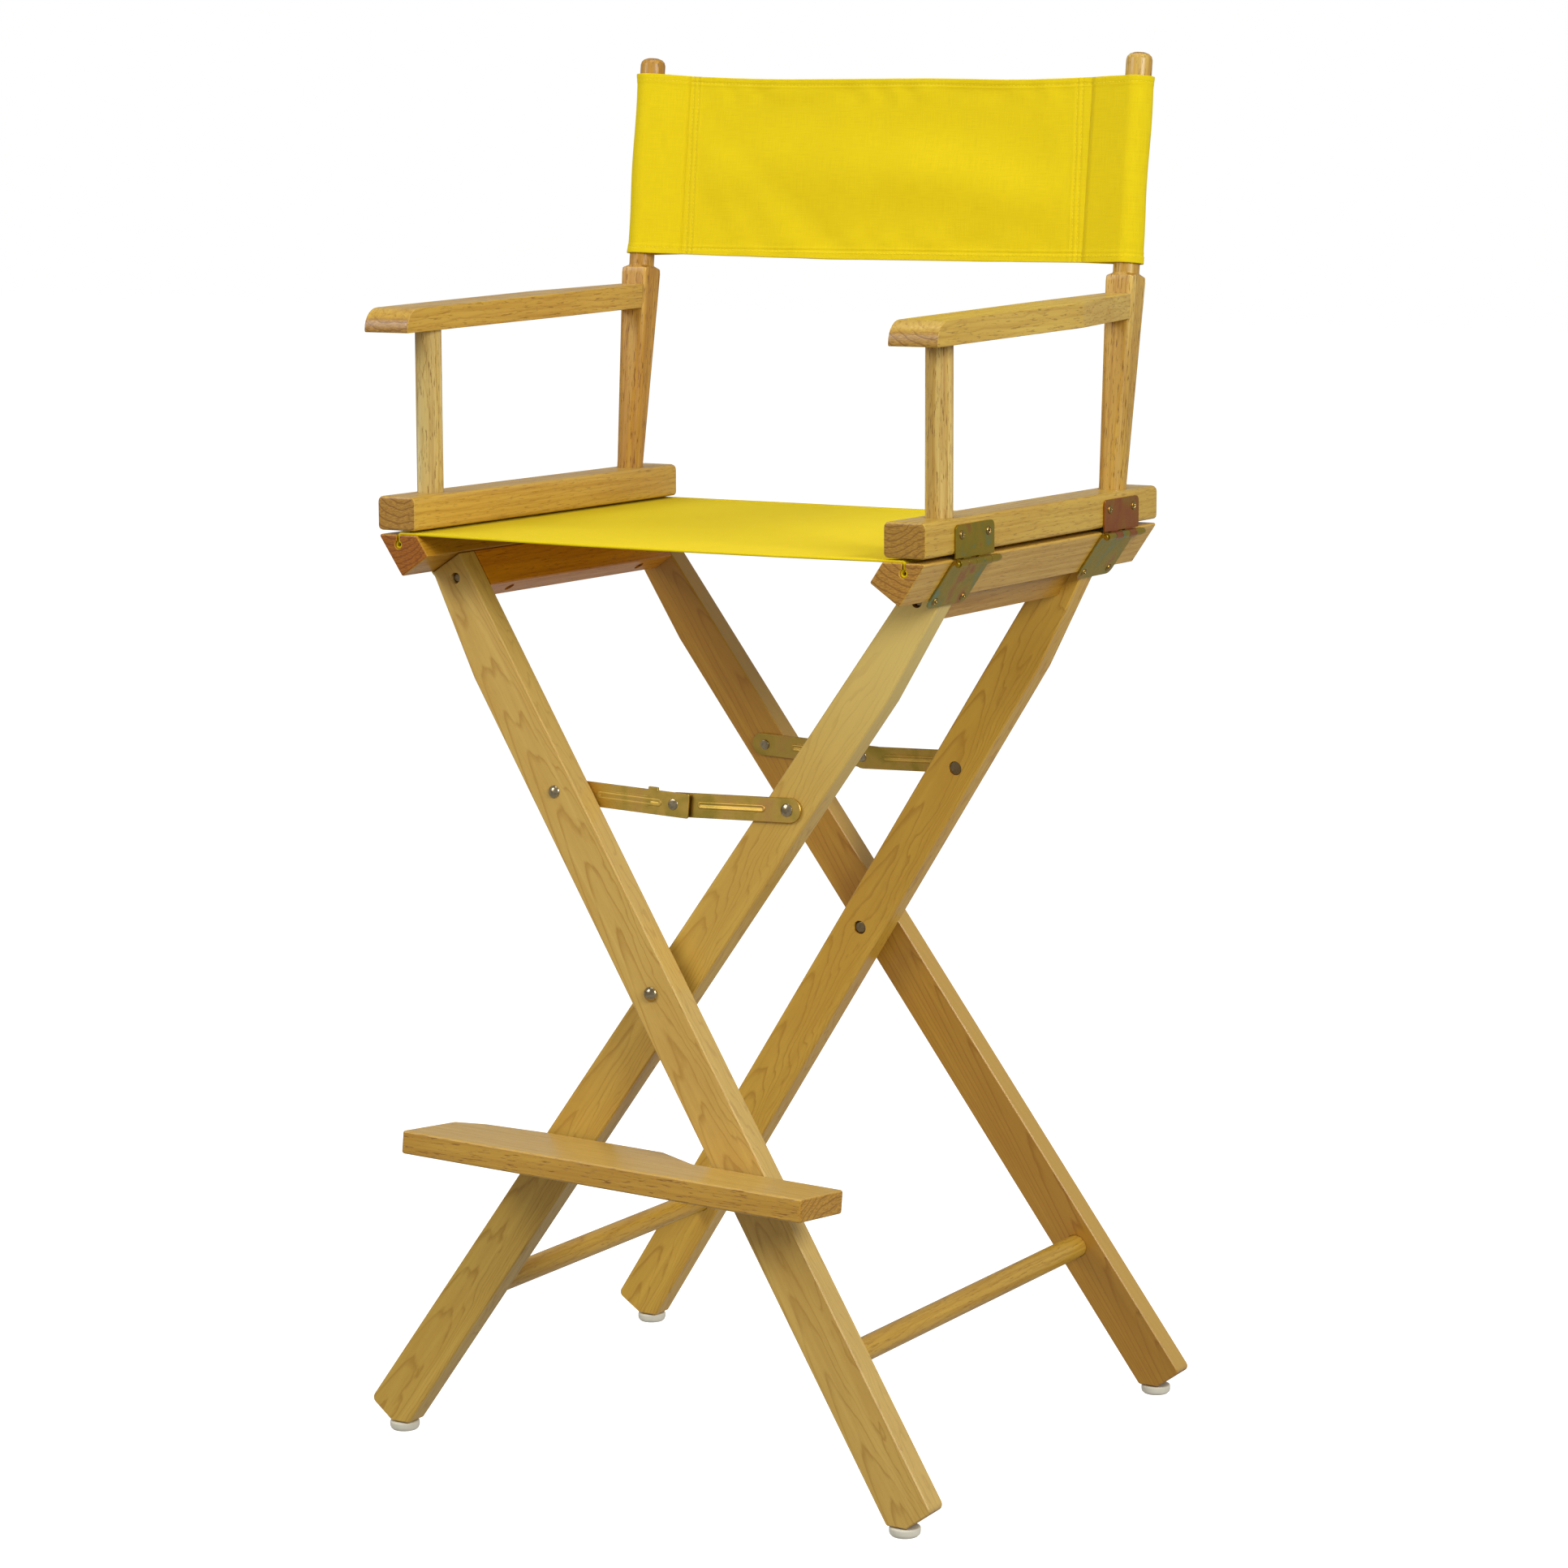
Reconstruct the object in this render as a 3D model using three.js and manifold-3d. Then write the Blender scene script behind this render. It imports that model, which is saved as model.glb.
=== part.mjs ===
import * as THREE from 'three';
import { mergeVertices } from 'three/addons/utils/BufferGeometryUtils.js';
import Module from 'manifold-3d';

const wasm = await Module();
wasm.setup();

const RAD = Math.PI / 180;

// Millimetres. X runs across the seat, Y from front to back, Z up from the floor.
const MID_Y = 21.3; // plane midway between the front and rear leg pairs
const GAP = 0.3; // clearance between touching pieces

// Legs: two crossed pairs. The outer legs are nearest the ends, the inner legs just inside them.
const PIVOT_Z = 403; // height of the scissor bolts
const LEAN = 33.95 * RAD; // lean of each leg from the vertical, across the seat
const SPREAD = 224; // distance of an outer leg from MID_Y at floor height
const SPLAY = 0.1015; // each leg pair leans inwards this much per unit of height
const TILT = Math.atan(SPLAY);
const INSET = 29; // inner legs sit this far inside the outer legs
const LEG_WIDTH = 40;
const LEG_THICK = 22;
const LINK_GAP = (INSET - LEG_THICK) * Math.cos(TILT); // space between the two legs of a pair
const LEG_TOP = 402.4; // distance of the cut top from the scissor bolt, along the leg
const TOP_HALF = 11.2; // outer half width at the cut top
const TAPER_START = 306.4;
const FOOT_Z = 9;
const STRETCHER = { s: -331.5, r: 10, sunk: 7.3 }; // s is its place along the leg
const LEG_SCREW = { s: 386.3, d: -6, shank: 2.2, head: 4.1 }; // holds a leg's top to its apron
const APRON_HOLES = [-78.7, 121.3]; // Y of the sunk screws in the underside of each apron
const PIVOT_BOLT = 4;
const BRACE_HOLE = 2.8;

// Seat rails, arm rails and the hinges between them.
const RAIL_FRONT = -181.7;
const RAIL_REAR = 219.3;
const SEAT_Z = 764.8; // flat top of a seat rail
const SLOT_X = 238.2; // keyhole groove for the seat canvas
const SLOT_Z = 756.8;
const ARM_RAIL = { x0: 220.6, x1: 258.2, z0: 768.3, z1: 796.4 };
const PIN_X = 262;
const PIN_Z = 761.5;
const HINGE_YS = [-105.7, 148.3];
const HINGE_WIDTH = 62.5;
const KNUCKLE = 3.2;
const PIN = 1.5;
const LEAF = 1.5; // thickness of a hinge leaf

// Posts and arms.
const FRONT_POST = { x: 241.3, y: -130.5, r: 11 };
const BACK_POST = { x: 239.7, y: 171.1, slope: 0.122 };
const BACK_LEAN = Math.atan(BACK_POST.slope);
const SHOULDER_Z = 974;
const TOP_Z = 1155.4;
const STICK = 11; // radius of the stick above the shoulder
const ARM_FRONT = -182.2;
const ARM_UNDER = 930;

// Braces between the legs of each pair.
const BRACE_X = 102.9;
const BRACE_Z = 556.2;
const KNEE = [-1.7, -3.4]; // knee rivet, relative to the line between the end rivets
const LINK_THICK = 2;
const LINK_PLAY = 0.4; // clearance between a link and the leg beside it
const TAB = { near: 15.3, far: 24.8, rise: 2.4 }; // stop on the left link, measured back from the knee
const LEFT_RIB = [31, 80]; // raised rib along each link, measured from its end rivet
const RIGHT_RIB = [27, 83];

// Footrest.
const BOARD_FRONT = -255.7;
const BOARD_Z = 279.7;
const BOARD_THICK = 19;
const BOARD_ROLL = 0.0255;
const BOARD_BOLT = [93, 261.3];
const BOLT_HOLE = 3.3;
const PEG = [-104, 248.2, 5];

// Back canvas.
const BACK_LOW = 984.5;
const BACK_HIGH = 1137.5;
const CLOTH = 1.2;

const WOOD = { color: 0xb9965a, roughness: 0.6, metalness: 0 };
const WOOD_LIGHT = { color: 0xc4a263, roughness: 0.6, metalness: 0 };
const CANVAS = { color: 0xe6cf22, roughness: 0.9, metalness: 0 };
const ZINC = { color: 0x9c8a4a, roughness: 0.38, metalness: 1 };
const NICKEL = { color: 0xb9b4aa, roughness: 0.3, metalness: 1 };
const PLASTIC = { color: 0xe9e4d6, roughness: 0.45, metalness: 0 };

const root = new THREE.Group();
root.name = 'director_chair';

// Turns a closed geometry into a solid that can be cut and joined.
function solid(geometry) {
  const bare = new THREE.BufferGeometry();
  bare.setAttribute('position', geometry.getAttribute('position').clone());
  if (geometry.index) {
    bare.setIndex(geometry.index.clone());
  }
  const merged = mergeVertices(bare, 1e-4);
  const source = merged.index.array;
  const faces = [];
  for (let i = 0; i < source.length; i += 3) {
    const [a, b, c] = [source[i], source[i + 1], source[i + 2]];
    if (a !== b && b !== c && c !== a) {
      faces.push(a, b, c);
    }
  }
  const vertProperties = new Float32Array(merged.getAttribute('position').array);
  const body = new wasm.Manifold(
    new wasm.Mesh({ numProp: 3, vertProperties, triVerts: new Uint32Array(faces) }),
  );
  if (body.volume() > 0) {
    return body;
  }
  for (let i = 0; i < faces.length; i += 3) {
    [faces[i + 1], faces[i + 2]] = [faces[i + 2], faces[i + 1]];
  }
  return new wasm.Manifold(
    new wasm.Mesh({ numProp: 3, vertProperties, triVerts: new Uint32Array(faces) }),
  );
}

function toGeometry(body) {
  const mesh = body.getMesh();
  const geometry = new THREE.BufferGeometry();
  geometry.setAttribute('position', new THREE.BufferAttribute(new Float32Array(mesh.vertProperties), 3));
  geometry.setIndex(new THREE.BufferAttribute(new Uint32Array(mesh.triVerts), 1));
  return geometry;
}

function moved(body, matrix) {
  return solid(toGeometry(body).applyMatrix4(matrix));
}

function mirrored(body) {
  return moved(body, new THREE.Matrix4().makeScale(-1, 1, 1));
}

function piece(name, body, look) {
  const geometry = toGeometry(body);
  geometry.computeVertexNormals();
  const mesh = new THREE.Mesh(geometry, new THREE.MeshStandardMaterial(look));
  mesh.name = name;
  root.add(mesh);
}

// A closed outline from corners [x, y, radius].
function outline(corners, steps = 4) {
  const points = [];
  const count = corners.length;
  corners.forEach(([x, y, radius = 0], i) => {
    const corner = new THREE.Vector2(x, y);
    if (!radius) {
      points.push(corner);
      return;
    }
    const before = corners[(i + count - 1) % count];
    const after = corners[(i + 1) % count];
    const a = new THREE.Vector2(before[0] - x, before[1] - y).normalize();
    const b = new THREE.Vector2(after[0] - x, after[1] - y).normalize();
    const half = Math.acos(THREE.MathUtils.clamp(a.dot(b), -1, 1)) / 2;
    const centre = a.clone().add(b).setLength(radius / Math.sin(half)).add(corner);
    const from = corner.clone().addScaledVector(a, radius / Math.tan(half)).sub(centre).angle();
    const to = corner.clone().addScaledVector(b, radius / Math.tan(half)).sub(centre).angle();
    const turn = Math.atan2(Math.sin(to - from), Math.cos(to - from));
    for (let k = 0; k <= steps; k += 1) {
      const angle = from + (turn * k) / steps;
      points.push(new THREE.Vector2(Math.cos(angle), Math.sin(angle)).multiplyScalar(radius).add(centre));
    }
  });
  return points;
}

function extruded(points, length, bevel, steps) {
  return new THREE.ExtrudeGeometry(new THREE.Shape(points), {
    depth: length - 2 * bevel,
    bevelEnabled: bevel > 0,
    bevelThickness: bevel,
    bevelSize: bevel,
    bevelOffset: -bevel,
    bevelSegments: steps,
    curveSegments: 1,
  }).translate(0, 0, bevel);
}

// Outline in X and Z, extruded along Y.
function prismY(points, y0, y1, bevel = 0, steps = 1) {
  return extruded(points, y1 - y0, bevel, steps).rotateX(Math.PI / 2).translate(0, y1, 0);
}

// Outline in X and Y, extruded along Z.
function prismZ(points, z0, z1, bevel = 0, steps = 1) {
  return extruded(points, z1 - z0, bevel, steps).translate(0, 0, z0);
}

// Outline in Y and Z, extruded along X.
function prismX(points, x0, x1, bevel = 0, steps = 1) {
  const turn = new THREE.Matrix4().makeBasis(
    new THREE.Vector3(0, 1, 0),
    new THREE.Vector3(0, 0, 1),
    new THREE.Vector3(1, 0, 0),
  );
  return extruded(points, x1 - x0, bevel, steps).applyMatrix4(turn).translate(x0, 0, 0);
}

function box(x0, x1, y0, y1, z0, z1) {
  const geometry = new THREE.BoxGeometry(x1 - x0, y1 - y0, z1 - z0);
  return solid(geometry.translate((x0 + x1) / 2, (y0 + y1) / 2, (z0 + z1) / 2));
}

function rodY(x, z, y0, y1, radius, sides = 24) {
  const geometry = new THREE.CylinderGeometry(radius, radius, y1 - y0, sides);
  return solid(geometry.translate(x, (y0 + y1) / 2, z));
}

function rodSpan(x, z, a, b, radius, sides = 24) {
  return rodY(x, z, Math.min(a, b), Math.max(a, b), radius, sides);
}

function rodBetween(a, b, radius, sides = 20) {
  const from = new THREE.Vector3(...a);
  const span = new THREE.Vector3(...b).sub(from);
  const geometry = new THREE.CylinderGeometry(radius, radius, span.length(), sides);
  geometry.translate(0, span.length() / 2, 0);
  const turn = new THREE.Quaternion().setFromUnitVectors(new THREE.Vector3(0, 1, 0), span.normalize());
  return solid(geometry.applyQuaternion(turn).translate(from.x, from.y, from.z));
}

// A turned shape about a line along Y, from [radius, y] steps.
function turnedY(profile, x, z, sides = 24) {
  const points = profile.map(([r, y]) => new THREE.Vector2(r, y));
  return solid(new THREE.LatheGeometry(points, sides).translate(x, 0, z));
}

// A low dome, as [radius, y] steps from its crown at y0 to its rim; way is the direction of the rim.
function dome(radius, height, y0, way) {
  const steps = [];
  for (let k = 0; k <= 3; k += 1) {
    const angle = (k / 3) * 80 * RAD;
    const drop = (1 - Math.cos(angle)) / (1 - Math.cos(80 * RAD));
    steps.push([(radius * Math.sin(angle)) / Math.sin(80 * RAD), y0 + way * height * drop]);
  }
  return steps;
}

// Position across a leg pair: s along the leg from the scissor bolt, d towards its outer edge.
function legPoint(s, d, side = 1) {
  const x = s * Math.sin(LEAN) + d * Math.cos(LEAN);
  return [side * x, PIVOT_Z + s * Math.cos(LEAN) - d * Math.sin(LEAN)];
}

// Y of a leg's centre plane at height z; row is -1 at the front and 1 at the rear.
function legY(row, inset, z) {
  return MID_Y + row * (SPREAD - inset - SPLAY * z);
}

// Builds upright, then leans the pair's plane inwards.
function splayed(geometry, row) {
  const shear = new THREE.Matrix4();
  shear.elements[9] = -row * SPLAY;
  return solid(geometry.applyMatrix4(shear));
}

// A frame lying in the outer leg's inner face, at brace height.
function bracePlane(row) {
  const matrix = new THREE.Matrix4().makeRotationX(row * TILT);
  return matrix.setPosition(0, legY(row, 0, BRACE_Z) - (row * LEG_THICK) / 2, BRACE_Z);
}

function legOutline(side) {
  const edge = LEG_WIDTH / 2;
  const innerFoot = legPoint((FOOT_Z - PIVOT_Z + edge * Math.sin(LEAN)) / Math.cos(LEAN), edge);
  const corners = [
    [...legPoint(LEG_TOP, -edge), 1.5],
    [...legPoint(LEG_TOP, TOP_HALF), 1.5],
    [...legPoint(TAPER_START, edge)],
    [innerFoot[0], innerFoot[1], 2.5],
    [-259.2, FOOT_Z, 3],
    [-281, 25, 5],
  ];
  return outline(corners.map(([x, z, r]) => [side * x, z, r]));
}

// One leg. side is the sign of X at its top, row -1 front or 1 rear.
function leg(side, row, inset) {
  const centre = legY(row, inset, 0);
  const blank = prismY(legOutline(side), centre - LEG_THICK / 2, centre + LEG_THICK / 2, 1, 1);
  let body = splayed(blank, row);
  const reach = LEG_THICK * 2;
  const pivotY = legY(row, inset, PIVOT_Z);
  body = body.subtract(rodY(0, PIVOT_Z, pivotY - reach, pivotY + reach, PIVOT_BOLT + GAP));
  if (inset) {
    const face = pivotY - (row * LEG_THICK) / 2;
    body = body.subtract(rodSpan(0, PIVOT_Z, face - row * 6, face + row * 6, 6));
  }
  body = body.subtract(moved(rodY(side * BRACE_X, 0, -60, 60, BRACE_HOLE, 16), bracePlane(row)));
  if (inset) {
    const face = -row * (LINK_GAP + LEG_THICK * Math.cos(TILT));
    const seat = rodSpan(side * BRACE_X, 0, face - row * 4, face + row * 2.5, 6.2, 20);
    body = body.subtract(moved(seat, bracePlane(row)));
  }
  const [sx, sz] = legPoint(LEG_SCREW.s, LEG_SCREW.d, side);
  const screwY = legY(row, inset, sz);
  body = body.subtract(rodY(sx, sz, screwY - reach, screwY + reach, LEG_SCREW.shank + 0.4, 12));
  const outer = screwY + (row * LEG_THICK) / 2;
  body = body.subtract(rodSpan(sx, sz, outer - row * 6, outer + row * 4, LEG_SCREW.head + 0.5, 20));
  const [tx, tz] = legPoint(STRETCHER.s, 0, side);
  const socket = legY(row, inset, tz) - (row * LEG_THICK) / 2;
  return body.subtract(rodSpan(tx, tz, socket + row * 8, socket - row * 4, STRETCHER.r + GAP));
}

// Legs, with the footrest's bolt hole in the front outer leg and its peg hole in the front inner leg.
const boltY = legY(-1, 0, BOARD_BOLT[1]);
const pegY = legY(-1, INSET, PEG[1]);
const boltHole = rodY(BOARD_BOLT[0], BOARD_BOLT[1], boltY - 40, boltY + 40, BOLT_HOLE, 16);
const pegHole = rodY(PEG[0], PEG[1], pegY - 40, pegY + 5, PEG[2] + GAP, 20);
piece('leg_outer_front', leg(-1, -1, 0).subtract(boltHole), WOOD_LIGHT);
piece('leg_outer_rear', leg(-1, 1, 0), WOOD);
piece('leg_inner_front', leg(1, -1, INSET).subtract(pegHole), WOOD);
piece('leg_inner_rear', leg(1, 1, INSET), WOOD);

// Stretchers: round rods near the feet, one joining each pair of legs that move together.
for (const [name, side, inset] of [['stretcher_right', -1, 0], ['stretcher_left', 1, INSET]]) {
  const [x, z] = legPoint(STRETCHER.s, 0, side);
  const end = SPREAD - inset - SPLAY * z - LEG_THICK / 2 + STRETCHER.sunk;
  piece(name, rodY(x, z, MID_Y - end, MID_Y + end, STRETCHER.r, 28), WOOD_LIGHT);
}

// Glides under the feet.
for (const [name, x, row, inset] of [
  ['glide_right_front', 252.5, -1, 0],
  ['glide_right_rear', 252.5, 1, 0],
  ['glide_left_front', -252.5, -1, INSET],
  ['glide_left_rear', -252.5, 1, INSET],
]) {
  const profile = [[0, 0], [8.6, 0], [10.6, 0.5], [12, 1.8], [12.7, 3.6], [12.7, 7.2], [12, 8], [0, 8]];
  const points = profile.map(([r, y]) => new THREE.Vector2(r, y));
  const geometry = new THREE.LatheGeometry(points, 20).rotateX(Math.PI / 2);
  piece(name, solid(geometry.translate(x, legY(row, inset, 5), 0)), PLASTIC);
}

// Aprons under the seat rails, cut to fit between the splayed legs.
function apron(inset) {
  const corners = [
    [...legPoint(402.4, -19.9), 1],
    [...legPoint(402.4, 2.2), 1],
    [...legPoint(369.4, 2.2), 1],
    [...legPoint(369.4, -19.9), 1],
  ];
  let body = solid(prismY(outline(corners, 1), MID_Y - 180, MID_Y + 180));
  for (const row of [-1, 1]) {
    const far = MID_Y + row * (SPREAD - inset - LEG_THICK / 2 - GAP);
    const block = [[150, 600], [300, 600], [300, 900], [150, 900]];
    const points = block.map(([x, z]) => new THREE.Vector2(x, z));
    const [from, to] = row < 0 ? [far - 200, far] : [far, far + 200];
    body = body.subtract(splayed(prismY(points, from, to), row));
    const [sx, sz] = legPoint(LEG_SCREW.s, LEG_SCREW.d);
    const end = legY(row, inset, sz);
    body = body.subtract(rodSpan(sx, sz, end, end - row * 53, LEG_SCREW.shank + 0.4, 12));
  }
  for (const y of APRON_HOLES) {
    const [ax, az] = legPoint(366, -9);
    const [bx, bz] = legPoint(380, -9);
    body = body.subtract(rodBetween([ax, y, az], [bx, y, bz], 4.6, 16));
  }
  return body;
}
piece('apron_right', apron(INSET), WOOD_LIGHT);
piece('apron_left', mirrored(apron(0)), WOOD);

// Screws that hold each leg top to its apron.
for (const [name, side, row, inset] of [
  ['leg_screw_left_front', -1, -1, 0],
  ['leg_screw_left_rear', -1, 1, 0],
  ['leg_screw_right_front', 1, -1, INSET],
  ['leg_screw_right_rear', 1, 1, INSET],
]) {
  const [x, z] = legPoint(LEG_SCREW.s, LEG_SCREW.d, side);
  const { shank, head } = LEG_SCREW;
  const face = legY(row, inset, z) + (row * LEG_THICK) / 2 - row * 3.2;
  const profile = [
    [0, face],
    [3, face],
    [head, face - row * 0.9],
    [shank, face - row * 2.6],
    [shank, face - row * 38],
    [0, face - row * 41],
  ];
  piece(name, turnedY(profile, x, z, 12), NICKEL);
}

// Seat rails, with a keyhole groove along the top for the edge of the seat canvas.
function seatRail() {
  const corners = [
    [...legPoint(402.8, -20), 1.5],
    [...legPoint(402.8, 11.7), 1.5],
    [258, SEAT_Z + 0.2, 1.5],
    [219.7, SEAT_Z + 0.2, 2.5],
  ];
  const body = solid(prismY(outline(corners, 3), RAIL_FRONT, RAIL_REAR, 0.8, 1));
  const bore = rodY(SLOT_X, SLOT_Z, RAIL_FRONT - 5, RAIL_REAR + 5, 3.6, 20);
  const slot = box(SLOT_X - 1.6, SLOT_X + 1.6, RAIL_FRONT - 5, RAIL_REAR + 5, SLOT_Z, SEAT_Z + 5);
  return body.subtract(bore).subtract(slot);
}
piece('seat_rail_right', seatRail(), WOOD);
piece('seat_rail_left', mirrored(seatRail()), WOOD);

const seatDowel = rodY(SLOT_X, SLOT_Z, RAIL_FRONT + 6, RAIL_REAR - 6, 2, 14);
piece('seat_dowel_right', seatDowel, WOOD_LIGHT);
piece('seat_dowel_left', mirrored(seatDowel), WOOD_LIGHT);

// Seat canvas: one sheet from groove to groove, with a hem round each dowel.
const seatFront = RAIL_FRONT + 2;
const seatRear = RAIL_REAR + 1;
const sheetZ = SEAT_Z + 0.5;
const drop = SLOT_X + CLOTH / 2;
let seatCanvas = box(-drop, drop, seatFront, seatRear, sheetZ + 0.5, sheetZ + 0.5 + CLOTH);
for (const side of [-1, 1]) {
  const foldX = side * SLOT_X;
  const fold = box(foldX - CLOTH / 2, foldX + CLOTH / 2, seatFront, seatRear, SLOT_Z + 2.6, sheetZ + 1);
  const hem = rodY(side * SLOT_X, SLOT_Z, seatFront, seatRear, 3.2, 16);
  const hole = rodY(side * SLOT_X, SLOT_Z, seatFront - 5, seatRear + 5, 2.3, 14);
  seatCanvas = seatCanvas.add(fold).add(hem).subtract(hole);
}
piece('seat_canvas', seatCanvas, CANVAS);

// Arm rails, which rest on the seat rails and carry the posts.
function armRail() {
  const { x0, x1, z0, z1 } = ARM_RAIL;
  const corners = [[x0, z0, 3.5], [x1, z0, 3.5], [x1, z1, 4.5], [x0, z1, 4.5]];
  let body = solid(prismY(outline(corners, 3), RAIL_FRONT - 0.5, RAIL_REAR, 2.4, 2));
  const { x, y, r } = FRONT_POST;
  body = body.subtract(rodBetween([x, y, z1 - 14], [x, y, z1 + 20], r + GAP, 28));
  const base = [BACK_POST.x, BACK_POST.y - 14 * BACK_POST.slope, z1 - 14];
  const above = [BACK_POST.x, BACK_POST.y + 20 * BACK_POST.slope, z1 + 20];
  return body.subtract(rodBetween(base, above, 11.5 + GAP, 32));
}
piece('arm_rail_right', armRail(), WOOD);
piece('arm_rail_left', mirrored(armRail()), WOOD);

// Front posts: round dowels let into the arm rail and the arm.
const frontPost = rodBetween(
  [FRONT_POST.x, FRONT_POST.y, ARM_RAIL.z1 - 13.5],
  [FRONT_POST.x, FRONT_POST.y, ARM_UNDER + 9],
  FRONT_POST.r,
  28,
);
piece('front_post_right', frontPost, WOOD_LIGHT);
piece('front_post_left', mirrored(frontPost), WOOD_LIGHT);

// Back posts: round at the foot, swelling to a square under the shoulder, then a round stick.
function backPost() {
  const scale = Math.cos(BACK_LEAN);
  const sections = [
    [ARM_RAIL.z1 - 13.5, 11.5, 11.5],
    [ARM_RAIL.z1 + 6, 11.5, 11.5],
    [830, 11.6, 10],
    [870, 11.9, 7],
    [910, 12.2, 4.4],
    [945, 12.6, 2.6],
    [967, 12.8, 2.2],
    [971.5, 12.6, 2.4],
    [SHOULDER_Z, STICK, STICK],
    [TOP_Z - 6, STICK, STICK],
    [TOP_Z - 3.2, 10.2, 10.2],
    [TOP_Z - 1.2, 8.2, 8.2],
    [TOP_Z, 5, 5],
  ];
  const positions = [];
  const corner = 8;
  const count = corner * 4;
  for (const [z, half, radius] of sections) {
    const t = (z - ARM_RAIL.z1) / scale;
    for (let k = 0; k < count; k += 1) {
      const quarter = Math.floor(k / corner);
      const angle = (quarter + (k % corner) / (corner - 1)) * 90 * RAD;
      const sx = quarter === 0 || quarter === 3 ? 1 : -1;
      const sy = quarter < 2 ? 1 : -1;
      positions.push(
        sx * (half - radius) + radius * Math.cos(angle),
        sy * (half - radius) + radius * Math.sin(angle),
        t,
      );
    }
  }
  const faces = [];
  for (let ring = 0; ring < sections.length - 1; ring += 1) {
    for (let k = 0; k < count; k += 1) {
      const a = ring * count + k;
      const b = ring * count + ((k + 1) % count);
      faces.push(a, b, b + count, a, b + count, a + count);
    }
  }
  const top = (sections.length - 1) * count;
  for (let k = 1; k < count - 1; k += 1) {
    faces.push(0, k + 1, k);
    faces.push(top, top + k, top + k + 1);
  }
  const geometry = new THREE.BufferGeometry();
  geometry.setAttribute('position', new THREE.Float32BufferAttribute(positions, 3));
  geometry.setIndex(faces);
  geometry.rotateX(-BACK_LEAN);
  return solid(geometry.translate(BACK_POST.x, BACK_POST.y, ARM_RAIL.z1));
}
const rightPost = backPost();
piece('back_post_right', rightPost, WOOD_LIGHT);
piece('back_post_left', mirrored(rightPost), WOOD_LIGHT);

// Arms: a flat slat, rounded over at the nose, narrowing towards the back post.
function arm() {
  const rearY = BACK_POST.y + (ARM_UNDER + 17 - ARM_RAIL.z1) * BACK_POST.slope - 12.7 - GAP;
  const lean = 11 * BACK_POST.slope;
  const side = [
    [ARM_FRONT, ARM_UNDER, 1.5],
    [rearY - lean, ARM_UNDER + 7.5, 0.8],
    [rearY + lean, ARM_UNDER + 28.5, 0.8],
    [ARM_FRONT, ARM_UNDER + 19.5, 17.5],
  ];
  const plan = [
    [224.9, ARM_FRONT - 5],
    [268.3, ARM_FRONT - 5],
    [268.3, 60, 60],
    [251.3, rearY + 5],
    [228.4, rearY + 5],
    [224.9, 60],
  ];
  const slab = solid(prismX(outline(side, 7), 215, 280));
  const shape = solid(prismZ(outline(plan, 5), 900, 1000));
  const { x, y, r } = FRONT_POST;
  const bore = rodBetween([x, y, ARM_UNDER - 10], [x, y, ARM_UNDER + 9.5], r + GAP, 28);
  return slab.intersect(shape).subtract(bore);
}
piece('arm_right', arm(), WOOD);
piece('arm_left', mirrored(arm()), WOOD);

// Hinges between the seat rails and the arm rails. Five knuckles: two above, three below.
function knuckleSpans(y) {
  const width = HINGE_WIDTH / 5;
  const spans = [];
  for (let k = 0; k < 5; k += 1) {
    spans.push([y - HINGE_WIDTH / 2 + k * width, y - HINGE_WIDTH / 2 + (k + 1) * width]);
  }
  return spans;
}

function upperLeaf(y) {
  const x0 = ARM_RAIL.x1 + GAP;
  const low = PIN_Z + KNUCKLE + 0.6;
  const half = HINGE_WIDTH / 2;
  const plate = [[y - half, low, 1], [y + half, low, 1], [y + half, 791.5, 5], [y - half, 791.5, 5]];
  let body = solid(prismX(outline(plate), x0, x0 + LEAF));
  knuckleSpans(y).forEach(([a, b], k) => {
    if (k % 2 === 1) {
      body = body.add(box(x0, x0 + LEAF, a + 0.2, b - 0.2, PIN_Z, low + 1));
      body = body.add(rodY(PIN_X, PIN_Z, a + 0.2, b - 0.2, KNUCKLE, 12));
    }
  });
  return body.subtract(rodY(PIN_X, PIN_Z, y - 60, y + 60, PIN + 0.35, 10));
}

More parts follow.
